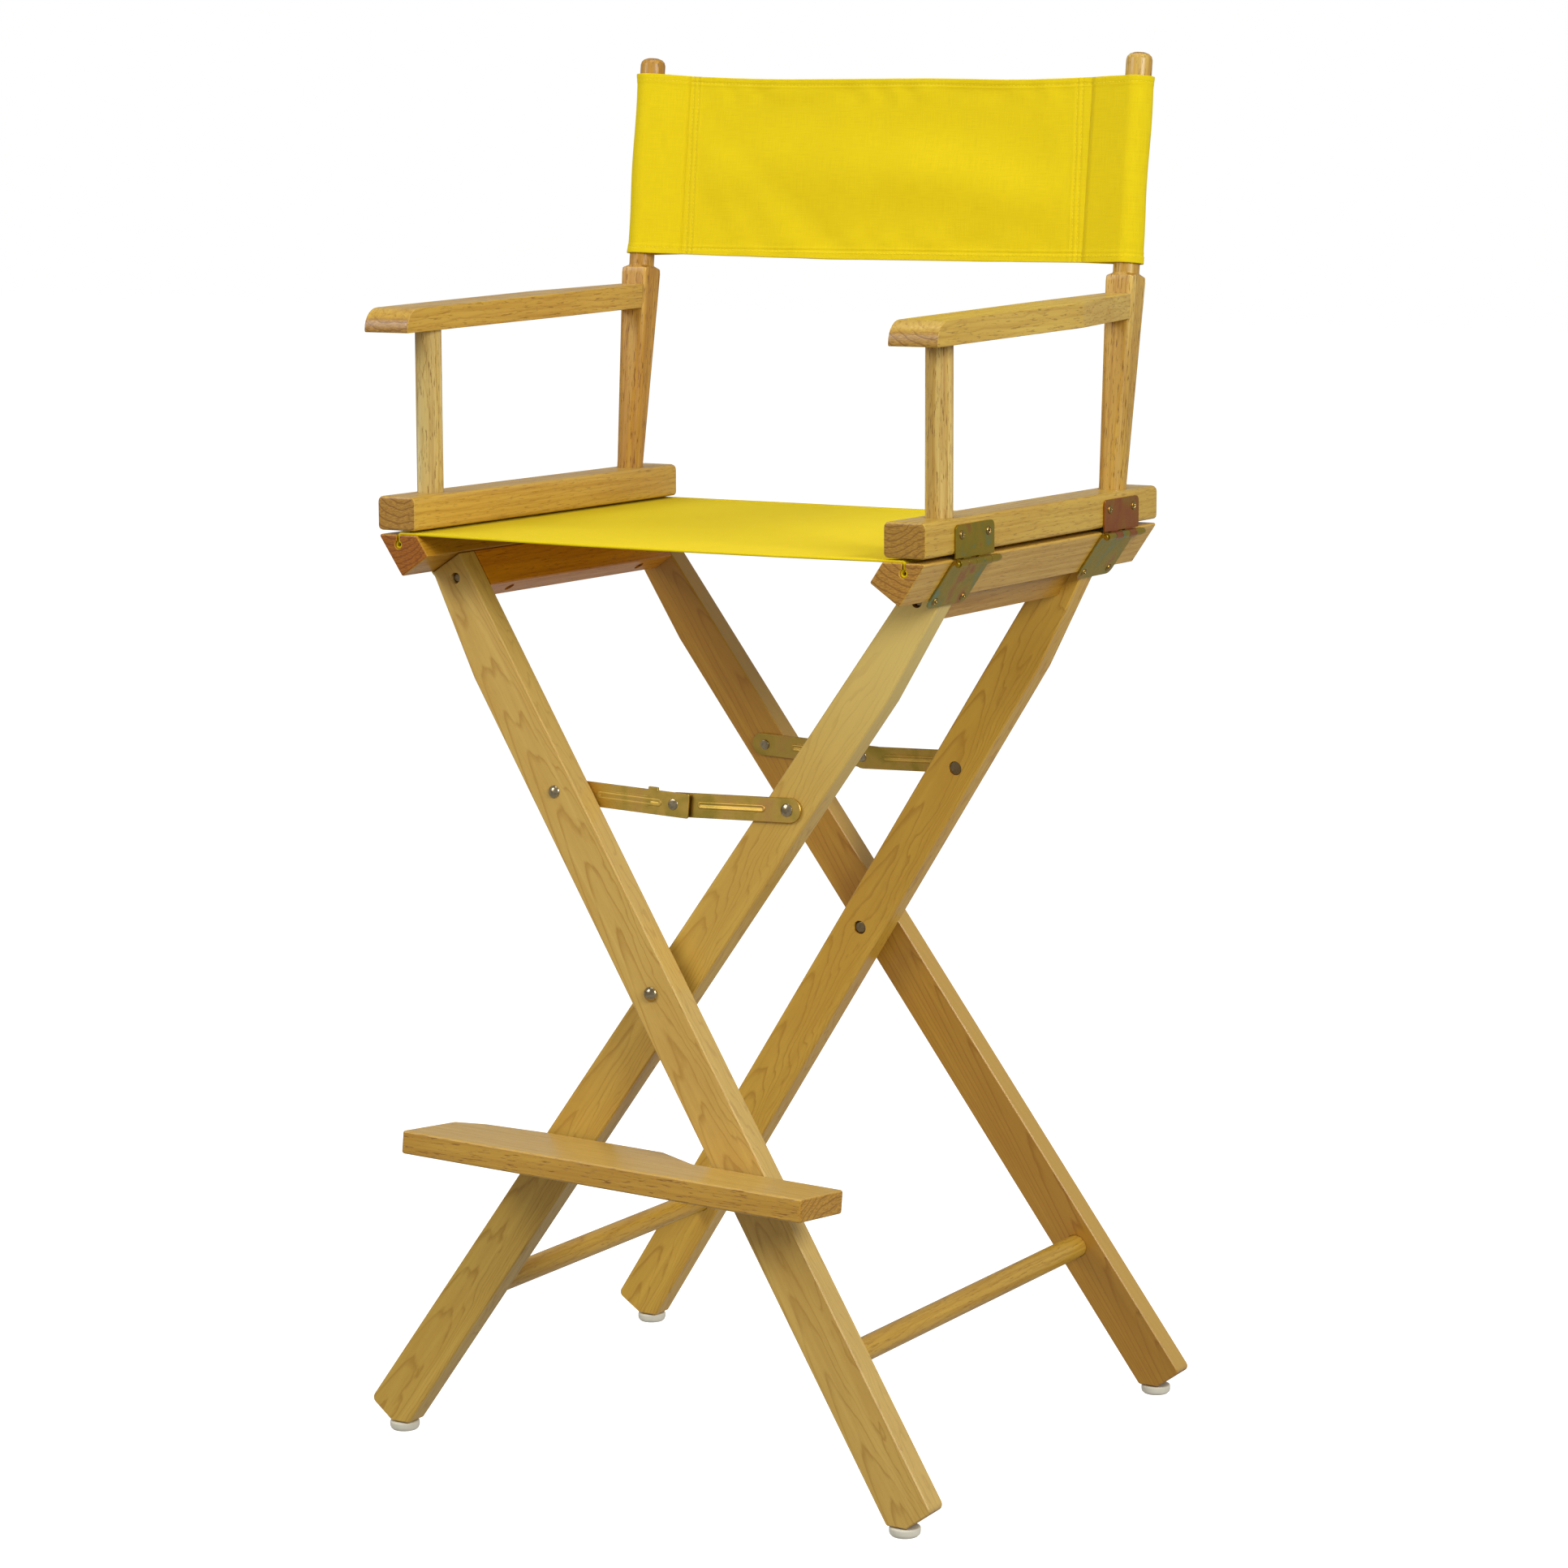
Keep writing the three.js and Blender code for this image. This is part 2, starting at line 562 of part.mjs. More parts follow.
function lowerLeaf(y) {
  const half = HINGE_WIDTH / 2;
  const inner = 12.1;
  const bottom = 397;
  const top = 439.6;
  const section = [
    legPoint(bottom, inner),
    legPoint(bottom, inner + LEAF),
    legPoint(top, inner + LEAF),
    legPoint(top, inner),
  ];
  const points = section.map(([x, z]) => new THREE.Vector2(x, z));
  let body = solid(prismY(points, y - half, y + half));
  for (const way of [-1, 1]) {
    const tip = y + way * half;
    const square = [
      legPoint(bottom - 1, inner - 3),
      legPoint(bottom - 1, inner + 4),
      legPoint(bottom + 6, inner + 4),
      legPoint(bottom + 6, inner - 3),
    ].map(([x, z]) => new THREE.Vector2(x, z));
    const block = solid(prismY(square, Math.min(tip, tip - way * 6), Math.max(tip, tip - way * 6)));
    const [ax, az] = legPoint(bottom + 6, inner - 4);
    const [bx, bz] = legPoint(bottom + 6, inner + 5);
    const round = rodBetween([ax, tip - way * 6, az], [bx, tip - way * 6, bz], 6, 16);
    body = body.subtract(block.subtract(round));
  }
  knuckleSpans(y).forEach(([a, b], k) => {
    if (k % 2 === 0) {
      const strap = [
        legPoint(top - 1, inner),
        legPoint(top - 1, inner + LEAF),
        legPoint(top + 4.1, inner + 3.9),
        legPoint(top + 4.6, inner + 0.9),
      ];
      const bridge = strap.map(([x, z]) => new THREE.Vector2(x, z));
      body = body.add(solid(prismY(bridge, a + 0.2, b - 0.2)));
      body = body.add(rodY(PIN_X, PIN_Z, a + 0.2, b - 0.2, KNUCKLE, 12));
    }
  });
  return body.subtract(rodY(PIN_X, PIN_Z, y - 60, y + 60, PIN + 0.35, 10));
}

// The pin's ends are upset a little beyond the outer knuckles.
function hingePin(y) {
  const end = HINGE_WIDTH / 2;
  const profile = [
    [0, y - end - 2.4],
    [1.7, y - end - 2.2],
    [2.3, y - end - 1.4],
    [2.3, y - end - GAP],
    [PIN, y - end - GAP],
    [PIN, y + end + GAP],
    [2.6, y + end + GAP],
    [2.6, y + end + 4.4],
    [1.8, y + end + 5.6],
    [0, y + end + 5.8],
  ];
  return turnedY(profile, PIN_X, PIN_Z, 10);
}

HINGE_YS.forEach((y, i) => {
  const place = ['front', 'rear'][i];
  piece(`hinge_leaf_upper_right_${place}`, upperLeaf(y), ZINC);
  piece(`hinge_leaf_upper_left_${place}`, mirrored(upperLeaf(y)), ZINC);
  piece(`hinge_leaf_lower_right_${place}`, lowerLeaf(y), ZINC);
  piece(`hinge_leaf_lower_left_${place}`, mirrored(lowerLeaf(y)), ZINC);
  piece(`hinge_pin_right_${place}`, hingePin(y), ZINC);
  piece(`hinge_pin_left_${place}`, mirrored(hingePin(y)), ZINC);
});

// Scissor bolts: a domed head outside the outer leg, a nut sunk in the inner leg's far face.
for (const [name, row] of [['scissor_bolt_front', -1], ['scissor_bolt_rear', 1]]) {
  const outer = legY(row, 0, PIVOT_Z) + row * (LEG_THICK / 2 + 1.2);
  const inner = legY(row, INSET, PIVOT_Z) - (row * LEG_THICK) / 2;
  const profile = [
    ...dome(6.2, 3, outer + row * 3, -row),
    [4, outer],
    [4, inner + row * 5.6],
    [5, inner + row * 5.6],
    [5, inner + row * 2],
    [4, inner + row * 1.4],
    [0, inner + row * 1.4],
  ];
  piece(name, turnedY(profile, 0, PIVOT_Z, 18), NICKEL);
}

// Brace links. Offsets are measured from the outer leg's inner face, square to it.
const leftKnee = [BRACE_X + KNEE[0], KNEE[1]];
const rightKnee = [-BRACE_X + KNEE[0], KNEE[1]];

// A link lying along +X from its end rivet at the origin, extruded along Y from y0.
function link(length, way, y0, parts) {
  const beyond = parts.squareEnd ? 14.7 : 10;
  const turn = parts.squareEnd ? 1.5 : 9.9;
  const corners = [[-13, -10, 9.9], [length + beyond, -10, turn], [length + beyond, 10, turn]];
  if (parts.tab) {
    corners.push([length - TAB.near, 10, 0.5], [length - TAB.near, 10 + TAB.rise, 1]);
    corners.push([length - TAB.far, 10 + TAB.rise, 1], [length - TAB.far, 10, 0.5]);
  }
  corners.push([-13, 10, 9.9]);
  const flip = corners.map(([x, z, r]) => [way * x, z, r]);
  let body = solid(prismY(outline(flip, 5), y0, y0 + LINK_THICK, 0.3, 1));
  const [r0, r1] = parts.rib;
  const rib = [[r0, -4.2, 4.1], [r1, -4.2, 4.1], [r1, 4.2, 4.1], [r0, 4.2, 4.1]];
  const ribOutline = outline(rib.map(([x, z, r]) => [way * x, z, r]), 4);
  const ribLow = y0 - 0.3;
  body = body.add(solid(prismY(ribOutline, ribLow, ribLow + 1)));
  body = body.subtract(rodY(0, 0, y0 - 9, y0 + 9, BRACE_HOLE, 12));
  return body.subtract(rodY(way * length, 0, y0 - 9, y0 + 9, BRACE_HOLE, 12));
}

// Both braces: the left links lie against the outer legs, the right links against the inner legs.
for (const [place, row] of [['front', -1], ['rear', 1]]) {
  const plane = bracePlane(row);
  const inward = -row;
  const near = LINK_PLAY;
  const far = LINK_GAP - LINK_PLAY;
  const leftY = inward > 0 ? near : -near - LINK_THICK;
  const rightY = inward > 0 ? far - LINK_THICK : -far;
  const leftLength = Math.hypot(...leftKnee);
  const rightLength = Math.hypot(...rightKnee);
  const leftTurn = Math.atan2(leftKnee[1], leftKnee[0]);
  const rightTurn = Math.atan2(rightKnee[1], -rightKnee[0]);
  const left = link(leftLength, 1, leftY, { squareEnd: true, tab: true, rib: LEFT_RIB });
  const right = link(rightLength, -1, rightY, { squareEnd: false, tab: false, rib: RIGHT_RIB });
  const leftPose = new THREE.Matrix4().makeRotationY(-leftTurn);
  leftPose.setPosition(-BRACE_X, 0, 0).premultiply(plane);
  const rightPose = new THREE.Matrix4().makeRotationY(rightTurn);
  rightPose.setPosition(BRACE_X, 0, 0).premultiply(plane);
  piece(`brace_link_left_${place}`, moved(left, leftPose), ZINC);
  piece(`brace_link_right_${place}`, moved(right, rightPose), ZINC);

  // End rivets: the left one through the outer leg, the right one through the inner leg.
  const legFar = (-inward * LEG_THICK) * Math.cos(TILT);
  const leftRivet = [
    ...dome(5.4, 2.4, legFar - inward * 2.7, inward),
    [2.4, legFar - inward * 0.3],
    [2.4, inward * (near + LINK_THICK + 0.2)],
    [4.6, inward * (near + LINK_THICK + 0.2)],
    [4.2, inward * (near + LINK_THICK + 1)],
    [0, inward * (near + LINK_THICK + 1.3)],
  ];
  piece(`brace_rivet_left_${place}`, moved(turnedY(leftRivet, -BRACE_X, 0, 14), plane), NICKEL);
  const innerFar = inward * (LINK_GAP + LEG_THICK * Math.cos(TILT));
  const front = inward * (far - LINK_THICK - 0.2);
  const rightRivet = [
    ...dome(5.6, 1.7, front - inward * 1.7, inward),
    [2.4, front],
    [2.4, innerFar - inward * 2.2],
    [5.6, innerFar - inward * 2.2],
    [5.6, innerFar - inward * 1.2],
    [2.6, innerFar - inward * 1],
    [0, innerFar - inward * 0.2],
  ];
  piece(`brace_rivet_right_${place}`, moved(turnedY(rightRivet, BRACE_X, 0, 14), plane), NICKEL);

  // The knee rivet is two upset heads, one on each link.
  const outside = inward > 0 ? leftY : leftY + LINK_THICK;
  const leftHead = [
    [0, outside - inward * 0.15],
    [2.4, outside - inward * 0.15],
    [2.4, outside + inward * (LINK_THICK + 0.15)],
    [4.6, outside + inward * (LINK_THICK + 0.15)],
    [4.2, outside + inward * (LINK_THICK + 0.7)],
    [0, outside + inward * (LINK_THICK + 0.8)],
  ];
  const inside = inward > 0 ? rightY : rightY + LINK_THICK;
  const rightHead = [
    [0, inside - inward * 0.8],
    [4.2, inside - inward * 0.7],
    [4.6, inside - inward * 0.15],
    [2.4, inside - inward * 0.15],
    [2.4, inside + inward * (LINK_THICK + 0.15)],
    [0, inside + inward * (LINK_THICK + 0.15)],
  ];
  piece(`brace_knee_left_${place}`, moved(turnedY(leftHead, KNEE[0], KNEE[1], 14), plane), NICKEL);
  piece(`brace_knee_right_${place}`, moved(turnedY(rightHead, KNEE[0], KNEE[1], 14), plane), NICKEL);
}

// Footrest board: deeper on the left, where it reaches back to the inner leg.
const boardPlan = [
  [-190, 0, 3],
  [190, 0, 3],
  [190, 67.4, 3],
  [50, 67.4, 6],
  [4, 95.6, 8],
  [-108, 95.6, 20],
  [-166, 87.5, 12],
  [-190, 74, 4],
];
const boardPose = new THREE.Matrix4().makeRotationY(Math.atan(BOARD_ROLL));
boardPose.multiply(new THREE.Matrix4().makeRotationX(-TILT));
boardPose.setPosition(0, BOARD_FRONT, BOARD_Z);
let board = moved(solid(prismZ(outline(boardPlan, 4), -BOARD_THICK, 0, 1.6, 2)), boardPose);
const boltFace = legY(-1, 0, BOARD_BOLT[1]) - LEG_THICK / 2;
board = board.subtract(rodY(BOARD_BOLT[0], BOARD_BOLT[1], boltFace - 32, boltFace + 10, BOLT_HOLE, 16));
piece('footrest', board, WOOD_LIGHT);

const boltBack = boltFace + LEG_THICK + 1;
const boltProfile = [
  [0, boltFace - 31.5],
  [2.6, boltFace - 31.5],
  [3, boltFace - 30.5],
  [3, boltBack],
  ...dome(6.5, 3, boltBack + 3, -1).reverse(),
];
piece('footrest_bolt', turnedY(boltProfile, BOARD_BOLT[0], BOARD_BOLT[1], 14), NICKEL);

const pegFace = pegY - LEG_THICK / 2;
const pegProfile = [
  [0, pegFace - 21],
  [3.6, pegFace - 21],
  [PEG[2], pegFace - 19.5],
  [PEG[2], pegY + 4.6],
  [0, pegY + 4.6],
];
piece('footrest_peg', turnedY(pegProfile, PEG[0], PEG[1], 16), WOOD_LIGHT);

// Back canvas: a panel with a sleeve round each stick, stitched closed beside it.
function backCanvas() {
  const length = (BACK_HIGH - BACK_LOW) / Math.cos(BACK_LEAN);
  const inner = STICK + 0.4;
  const outer = inner + CLOTH;
  const seam = 200;
  const teardrop = (radius, tip, thick) => {
    const points = [new THREE.Vector2(tip, -thick)];
    const reach = BACK_POST.x - tip;
    const start = -90 - Math.asin((radius - thick) / reach) / RAD;
    for (let k = 0; k <= 16; k += 1) {
      const angle = (start + ((-2 * start) * k) / 16) * RAD;
      points.push(new THREE.Vector2(BACK_POST.x + radius * Math.cos(angle), radius * Math.sin(angle)));
    }
    if (thick > 0.01) {
      points.push(new THREE.Vector2(tip, thick));
    }
    return points;
  };
  const half = CLOTH / 2;
  let body = box(-seam - 1, seam + 1, -half, half, 0, length);
  for (const side of [-1, 1]) {
    const skin = teardrop(outer, seam - 10, half).map((p) => new THREE.Vector2(side * p.x, p.y));
    const hollow = teardrop(inner, seam, 0.005).map((p) => new THREE.Vector2(side * p.x, p.y));
    body = body.add(solid(prismZ(skin, 0, length)));
    body = body.subtract(solid(prismZ(hollow, -5, length + 5)));
  }
  const pose = new THREE.Matrix4().makeRotationX(-BACK_LEAN);
  pose.setPosition(0, BACK_POST.y + (BACK_LOW - ARM_RAIL.z1) * BACK_POST.slope, BACK_LOW);
  return moved(body, pose);
}
piece('back_canvas', backCanvas(), CANVAS);

export default root;
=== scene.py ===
import math

import bpy
import numpy as np
from mathutils import Matrix, Vector


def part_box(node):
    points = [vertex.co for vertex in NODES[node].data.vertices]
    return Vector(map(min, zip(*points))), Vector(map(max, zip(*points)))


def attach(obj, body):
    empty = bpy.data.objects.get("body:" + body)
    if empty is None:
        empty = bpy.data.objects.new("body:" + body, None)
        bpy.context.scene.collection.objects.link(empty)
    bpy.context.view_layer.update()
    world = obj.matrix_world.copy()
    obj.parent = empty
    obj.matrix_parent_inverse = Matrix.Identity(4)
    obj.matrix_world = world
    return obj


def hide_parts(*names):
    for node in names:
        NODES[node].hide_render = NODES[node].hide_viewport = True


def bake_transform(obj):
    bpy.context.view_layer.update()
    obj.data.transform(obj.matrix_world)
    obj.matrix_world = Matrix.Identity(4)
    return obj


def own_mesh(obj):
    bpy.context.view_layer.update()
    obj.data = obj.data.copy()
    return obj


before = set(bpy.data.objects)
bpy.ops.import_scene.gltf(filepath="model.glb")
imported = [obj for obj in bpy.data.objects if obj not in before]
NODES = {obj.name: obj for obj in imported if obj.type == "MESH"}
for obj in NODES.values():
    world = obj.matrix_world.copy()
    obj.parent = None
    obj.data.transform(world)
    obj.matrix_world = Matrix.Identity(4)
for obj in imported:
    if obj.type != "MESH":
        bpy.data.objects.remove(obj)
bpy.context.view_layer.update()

SCENE = bpy.context.scene

# ---------------------------------------------------------------- measures, in metres
# Legs: lean to the side, height of the crossing, and slope fore and aft per unit of height.
LEAN = math.radians(33.95)
SCISSOR_Z = 0.403
SPLAY = 0.1015
CLOTH = 0.0012
# The round stick on each back post: distance from the middle, radius, and slope to the rear.
STICK_X = 0.2397
STICK_RADIUS = 0.011
STICK_SLOPE = 0.122
POST_FOOT_Y, POST_FOOT_Z = 0.1711, 0.7964
# The back canvas: its lower and upper edge, and how far from the middle its sleeves begin.
BACK_LOW, BACK_HIGH = 0.9845, 1.1375
STICK_Y_LOW = POST_FOOT_Y + (BACK_LOW - POST_FOOT_Z) * STICK_SLOPE
SEAM = 0.1995
# The round bottom of the keyhole groove in each seat rail.
SLOT_X, SLOT_Z = 0.2382, 0.7568
# Half the distance between the two screws of a hinge leaf.
HINGE_HALF_PITCH = 0.0216


def sides():
    return ((-1, "left"), (1, "right"))


def rows():
    return ((-1, "front"), (1, "rear"))


# ---------------------------------------------------------------- shader graphs
class Graph:
    """A material's node tree, written as expressions."""

    def __init__(self, name):
        self.material = bpy.data.materials.new(name)
        self.material.use_nodes = True
        self.tree = self.material.node_tree
        self.tree.nodes.clear()
        self.out = self.tree.nodes.new("ShaderNodeOutputMaterial")
        self.shader = self.tree.nodes.new("ShaderNodeBsdfPrincipled")
        self.tree.links.new(self.shader.outputs[0], self.out.inputs[0])
        self.coords = self.tree.nodes.new("ShaderNodeTexCoord")

    def put(self, socket, value):
        if isinstance(value, bpy.types.NodeSocket):
            self.tree.links.new(value, socket)
        elif hasattr(value, "__len__") and len(value) == 3 and socket.type == "RGBA":
            socket.default_value = (*value, 1.0)
        else:
            socket.default_value = value

    def math(self, operation, a, b=0.0, c=0.0):
        node = self.tree.nodes.new("ShaderNodeMath")
        node.operation = operation
        for socket, value in zip(node.inputs, (a, b, c)):
            self.put(socket, value)
        return node.outputs[0]

    def vector(self, operation, a, b=(0, 0, 0)):
        node = self.tree.nodes.new("ShaderNodeVectorMath")
        node.operation = operation
        self.put(node.inputs[0], a)
        self.put(node.inputs[1], b)
        return node.outputs["Value"] if operation in ("DOT_PRODUCT", "LENGTH") else node.outputs[0]

    def combine(self, x, y, z):
        node = self.tree.nodes.new("ShaderNodeCombineXYZ")
        for socket, value in zip(node.inputs, (x, y, z)):
            self.put(socket, value)
        return node.outputs[0]

    def noise(self, vector, scale=1.0, detail=3.0, roughness=0.55, distortion=0.0):
        node = self.tree.nodes.new("ShaderNodeTexNoise")
        self.put(node.inputs["Vector"], vector)
        node.inputs["Scale"].default_value = scale
        node.inputs["Detail"].default_value = detail
        node.inputs["Roughness"].default_value = roughness
        node.inputs["Distortion"].default_value = distortion
        return node.outputs[0]

    def ranged(self, value, low, high, to_low=0.0, to_high=1.0, smooth=True):
        node = self.tree.nodes.new("ShaderNodeMapRange")
        node.interpolation_type = "SMOOTHSTEP" if smooth else "LINEAR"
        for socket, v in zip(node.inputs, (value, low, high, to_low, to_high)):
            self.put(socket, v)
        return node.outputs[0]

    def mix(self, factor, a, b, blend="MIX"):
        node = self.tree.nodes.new("ShaderNodeMix")
        node.data_type = "RGBA"
        node.blend_type = blend
        self.put(node.inputs[0], factor)
        self.put(node.inputs[6], a)
        self.put(node.inputs[7], b)
        return node.outputs[2]

    def ramp(self, value, stops):
        node = self.tree.nodes.new("ShaderNodeValToRGB")
        self.put(node.inputs[0], value)
        ramp = node.color_ramp
        while len(ramp.elements) < len(stops):
            ramp.elements.new(0.5)
        for element, (place, colour) in zip(ramp.elements, stops):
            element.position = place
            element.color = (*colour, 1.0)
        return node.outputs[0]

    def bump(self, height, distance, strength=1.0):
        node = self.tree.nodes.new("ShaderNodeBump")
        self.put(node.inputs["Height"], height)
        node.inputs["Distance"].default_value = distance
        node.inputs["Strength"].default_value = strength
        return node.outputs[0]

    def set(self, **values):
        for name, value in values.items():
            self.put(self.shader.inputs[name.replace("_", " ")], value)


def linear(r, g, b):
    """A screen colour, 0 to 255, as scene-linear values."""
    return tuple(((v / 255 + 0.055) / 1.055) ** 2.4 if v > 10 else v / 3294 for v in (r, g, b))


def tinted(tone, red, green, blue):
    """The tone with each of its channels multiplied."""
    return tone[0] * red, tone[1] * green, tone[2] * blue


def wood(name, tone, along, across, centre, seed, ring=0.0058, depth=0.045, tilt=0.04, flame=0.0,
         drift=(3.4, 17.0), sway=0.030, figure=0.5, pores=0.5, streaks=0.55, end=(0.78, 0.66, 0.60),
         mottle=0.12, pale=0.55, lift=(1.14, 1.20, 1.30), sides=0.0, faces=0.0, bleach=0.0):
    """Satin wood sawn from one board: growth rings, fine streaks, pores and darker end grain.

    ring is the width of a growth ring; flame bends the rings into nested arches; sides and faces
    paint highlights, paler wood on its edges and on its broad faces; bleach sets how pale it is towards
    its upper end.
    """
    g = Graph(name)
    a = Vector(along).normalized()
    c = a.cross(Vector(across)).normalized()
    b = c.cross(a).normalized()
    place = g.vector("SUBTRACT", g.coords.outputs["Object"], tuple(centre))
    u = g.vector("DOT_PRODUCT", place, a)
    v = g.vector("DOT_PRODUCT", place, b)
    w = g.vector("DOT_PRODUCT", place, c)
    shift = seed * 1.37

    def grain(length, width, detail=3.0, roughness=0.6):
        """Noise drawn out along the grain: features per metre along it and across it."""
        return g.noise(g.combine(g.math("MULTIPLY_ADD", u, length, shift), g.math("MULTIPLY", v, width),
                                 g.math("MULTIPLY", w, width)), 1.0, detail, roughness)

    wander = g.math("MULTIPLY", g.math("SUBTRACT", grain(*drift, 2.0, 0.5), 0.5), sway)
    quiver = g.math("MULTIPLY", g.math("SUBTRACT", grain(40.0, 150.0, 2.0, 0.5), 0.5), 0.0036)
    wander = g.math("ADD", wander, quiver)
    rv = g.math("ADD", g.math("ADD", v, 0.011 * math.sin(seed * 2.3)), wander)
    if flame:
        bowed = g.math("MULTIPLY", g.math("MULTIPLY", rv, rv), flame)
        radius = g.math("ADD", g.math("ADD", bowed, w), g.math("MULTIPLY_ADD", u, tilt, wander))
    else:
        rw = g.math("ADD", g.math("ADD", w, depth), g.math("MULTIPLY_ADD", u, tilt, wander))
        radius = g.vector("LENGTH", g.combine(0.0, rv, rw))
    rings = g.math("FRACT", g.math("MULTIPLY_ADD", radius, 1.0 / ring, shift))
    growth = g.ramp(rings, ((0.0, (0.35, 0.35, 0.35)), (0.05, (0.0, 0.0, 0.0)), (0.74, (0.07, 0.07, 0.07)),
                            (0.95, (1.0, 1.0, 1.0)), (1.0, (0.35, 0.35, 0.35))))
    streak = grain(6.0, 330.0)
    fibre = grain(85.0, 950.0, 2.0)
    blotch = grain(8.0, 34.0, 2.0, 0.5)
    light = grain(5.0, 120.0, 2.0, 0.5)
    colour = g.mix(g.math("MULTIPLY", growth, figure), tone, tinted(tone, 0.66, 0.53, 0.34))
    colour = g.mix(g.ranged(light, 0.50, 0.70, 0.0, pale), colour, tinted(tone, *lift))
    colour = g.mix(g.ranged(streak, 0.42, 0.72, 0.0, streaks), colour, tinted(tone, 0.66, 0.52, 0.32))
    colour = g.mix(g.ranged(blotch, 0.40, 0.70, 0.0, mottle * 3.0), colour,
                   tinted(tone, 0.80, 0.70, 0.54))
    pore = g.math("MULTIPLY", g.ranged(fibre, 0.57, 0.68), pores)
    colour = g.mix(pore, colour, tinted(tone, 0.36, 0.24, 0.14))
    # A paler tone: the wood's own paleness towards its upper end (bleach), and painted highlight on its
    # edges and broad faces.
    pale_wood_and_highlight = tinted(tone, 1.18, 1.46, 2.60)
    if bleach:
        colour = g.mix(g.ranged(u, 0.16, 0.42, 0.0, bleach), colour, pale_wood_and_highlight)
    # Painted highlight: edges (normal along b, by sides) and broad faces (normal along c, by faces) are
    # made paler, as if catching light.
    for direction, amount in ((b, sides), (c, faces)):
        if amount:
            turned = g.math("ABSOLUTE", g.vector("DOT_PRODUCT", g.coords.outputs["Normal"], direction))
            colour = g.mix(g.ranged(turned, 0.45, 0.85, 0.0, amount), colour, pale_wood_and_highlight)
    facing = g.math("ABSOLUTE", g.vector("DOT_PRODUCT", g.coords.outputs["Normal"], a))
    endgrain = g.ranged(facing, 0.75, 0.93)
    hatch = g.noise(g.combine(g.math("MULTIPLY", u, 60.0), g.math("MULTIPLY", v, 260.0),
                              g.math("MULTIPLY", w, 1500.0)), 1.0, 3.0, 0.6)
    late = g.mix(growth, (1.0, 1.0, 1.0), (0.42, 0.32, 0.24))
    endtone = g.mix(g.ranged(hatch, 0.40, 0.66, 0.0, 0.9), late, (0.58, 0.48, 0.38))
    endcolour = g.mix(1.0, tinted(tone, *end), endtone, "MULTIPLY")
    colour = g.mix(endgrain, colour, endcolour)
    rough = g.ranged(streak, 0.3, 0.75, 0.30, 0.44)
    relief = g.math("ADD", g.math("MULTIPLY", streak, 0.5), g.math("MULTIPLY", pore, -0.8))
    g.set(Base_Color=colour, Roughness=rough, Normal=g.bump(relief, 0.00024, 0.6))
    g.shader.inputs["Specular IOR Level"].default_value = 0.36
    g.shader.inputs["Coat Weight"].default_value = 0.14
    g.shader.inputs["Coat Roughness"].default_value = 0.16
    return g.material


def metal(name, tones, rough, patch=14.0, scratch=0.5, metallic=1.0):
    """Plated sheet metal: drifting plate colours, fine scratches and small pits."""
    g = Graph(name)
    place = g.coords.outputs["Object"]
    drift = g.noise(place, patch, 3.0, 0.6, 0.6)
    count = len(tones) - 1
    colour = g.ramp(drift, [(0.32 + 0.36 * i / count, tone) for i, tone in enumerate(tones)])
    brushed = g.noise(g.vector("MULTIPLY", place, (2600.0, 260.0, 1200.0)), 1.0, 2.0, 0.6)
    pits = g.noise(place, 900.0, 2.0, 0.6)
    colour = g.mix(g.ranged(pits, 0.58, 0.74, 0.0, 0.30), colour, tuple(0.5 * t for t in tones[0]))
    roughness = g.ranged(brushed, 0.3, 0.7, rough - 0.06, rough + 0.10)
    relief = g.math("ADD", g.math("MULTIPLY", brushed, scratch), g.math("MULTIPLY", pits, 0.5))
    g.set(Base_Color=colour, Roughness=roughness, Normal=g.bump(relief, 0.0001, 0.5))
    g.shader.inputs["Metallic"].default_value = metallic
    return g.material


def plastic(name, tone):
    """Moulded plastic with a fine speckle and scuffs."""
    g = Graph(name)
    place = g.coords.outputs["Object"]
    scuff = g.noise(place, 160.0, 4.0, 0.65)
    grain = g.noise(place, 1800.0, 2.0, 0.5)
    colour = g.mix(g.ranged(scuff, 0.45, 0.75, 0.0, 0.35), tone, tuple(0.8 * t for t in tone))
    rough = g.ranged(scuff, 0.3, 0.7, 0.36, 0.55)
    g.set(Base_Color=colour, Roughness=rough, Normal=g.bump(grain, 0.0001, 0.4))
    return g.material


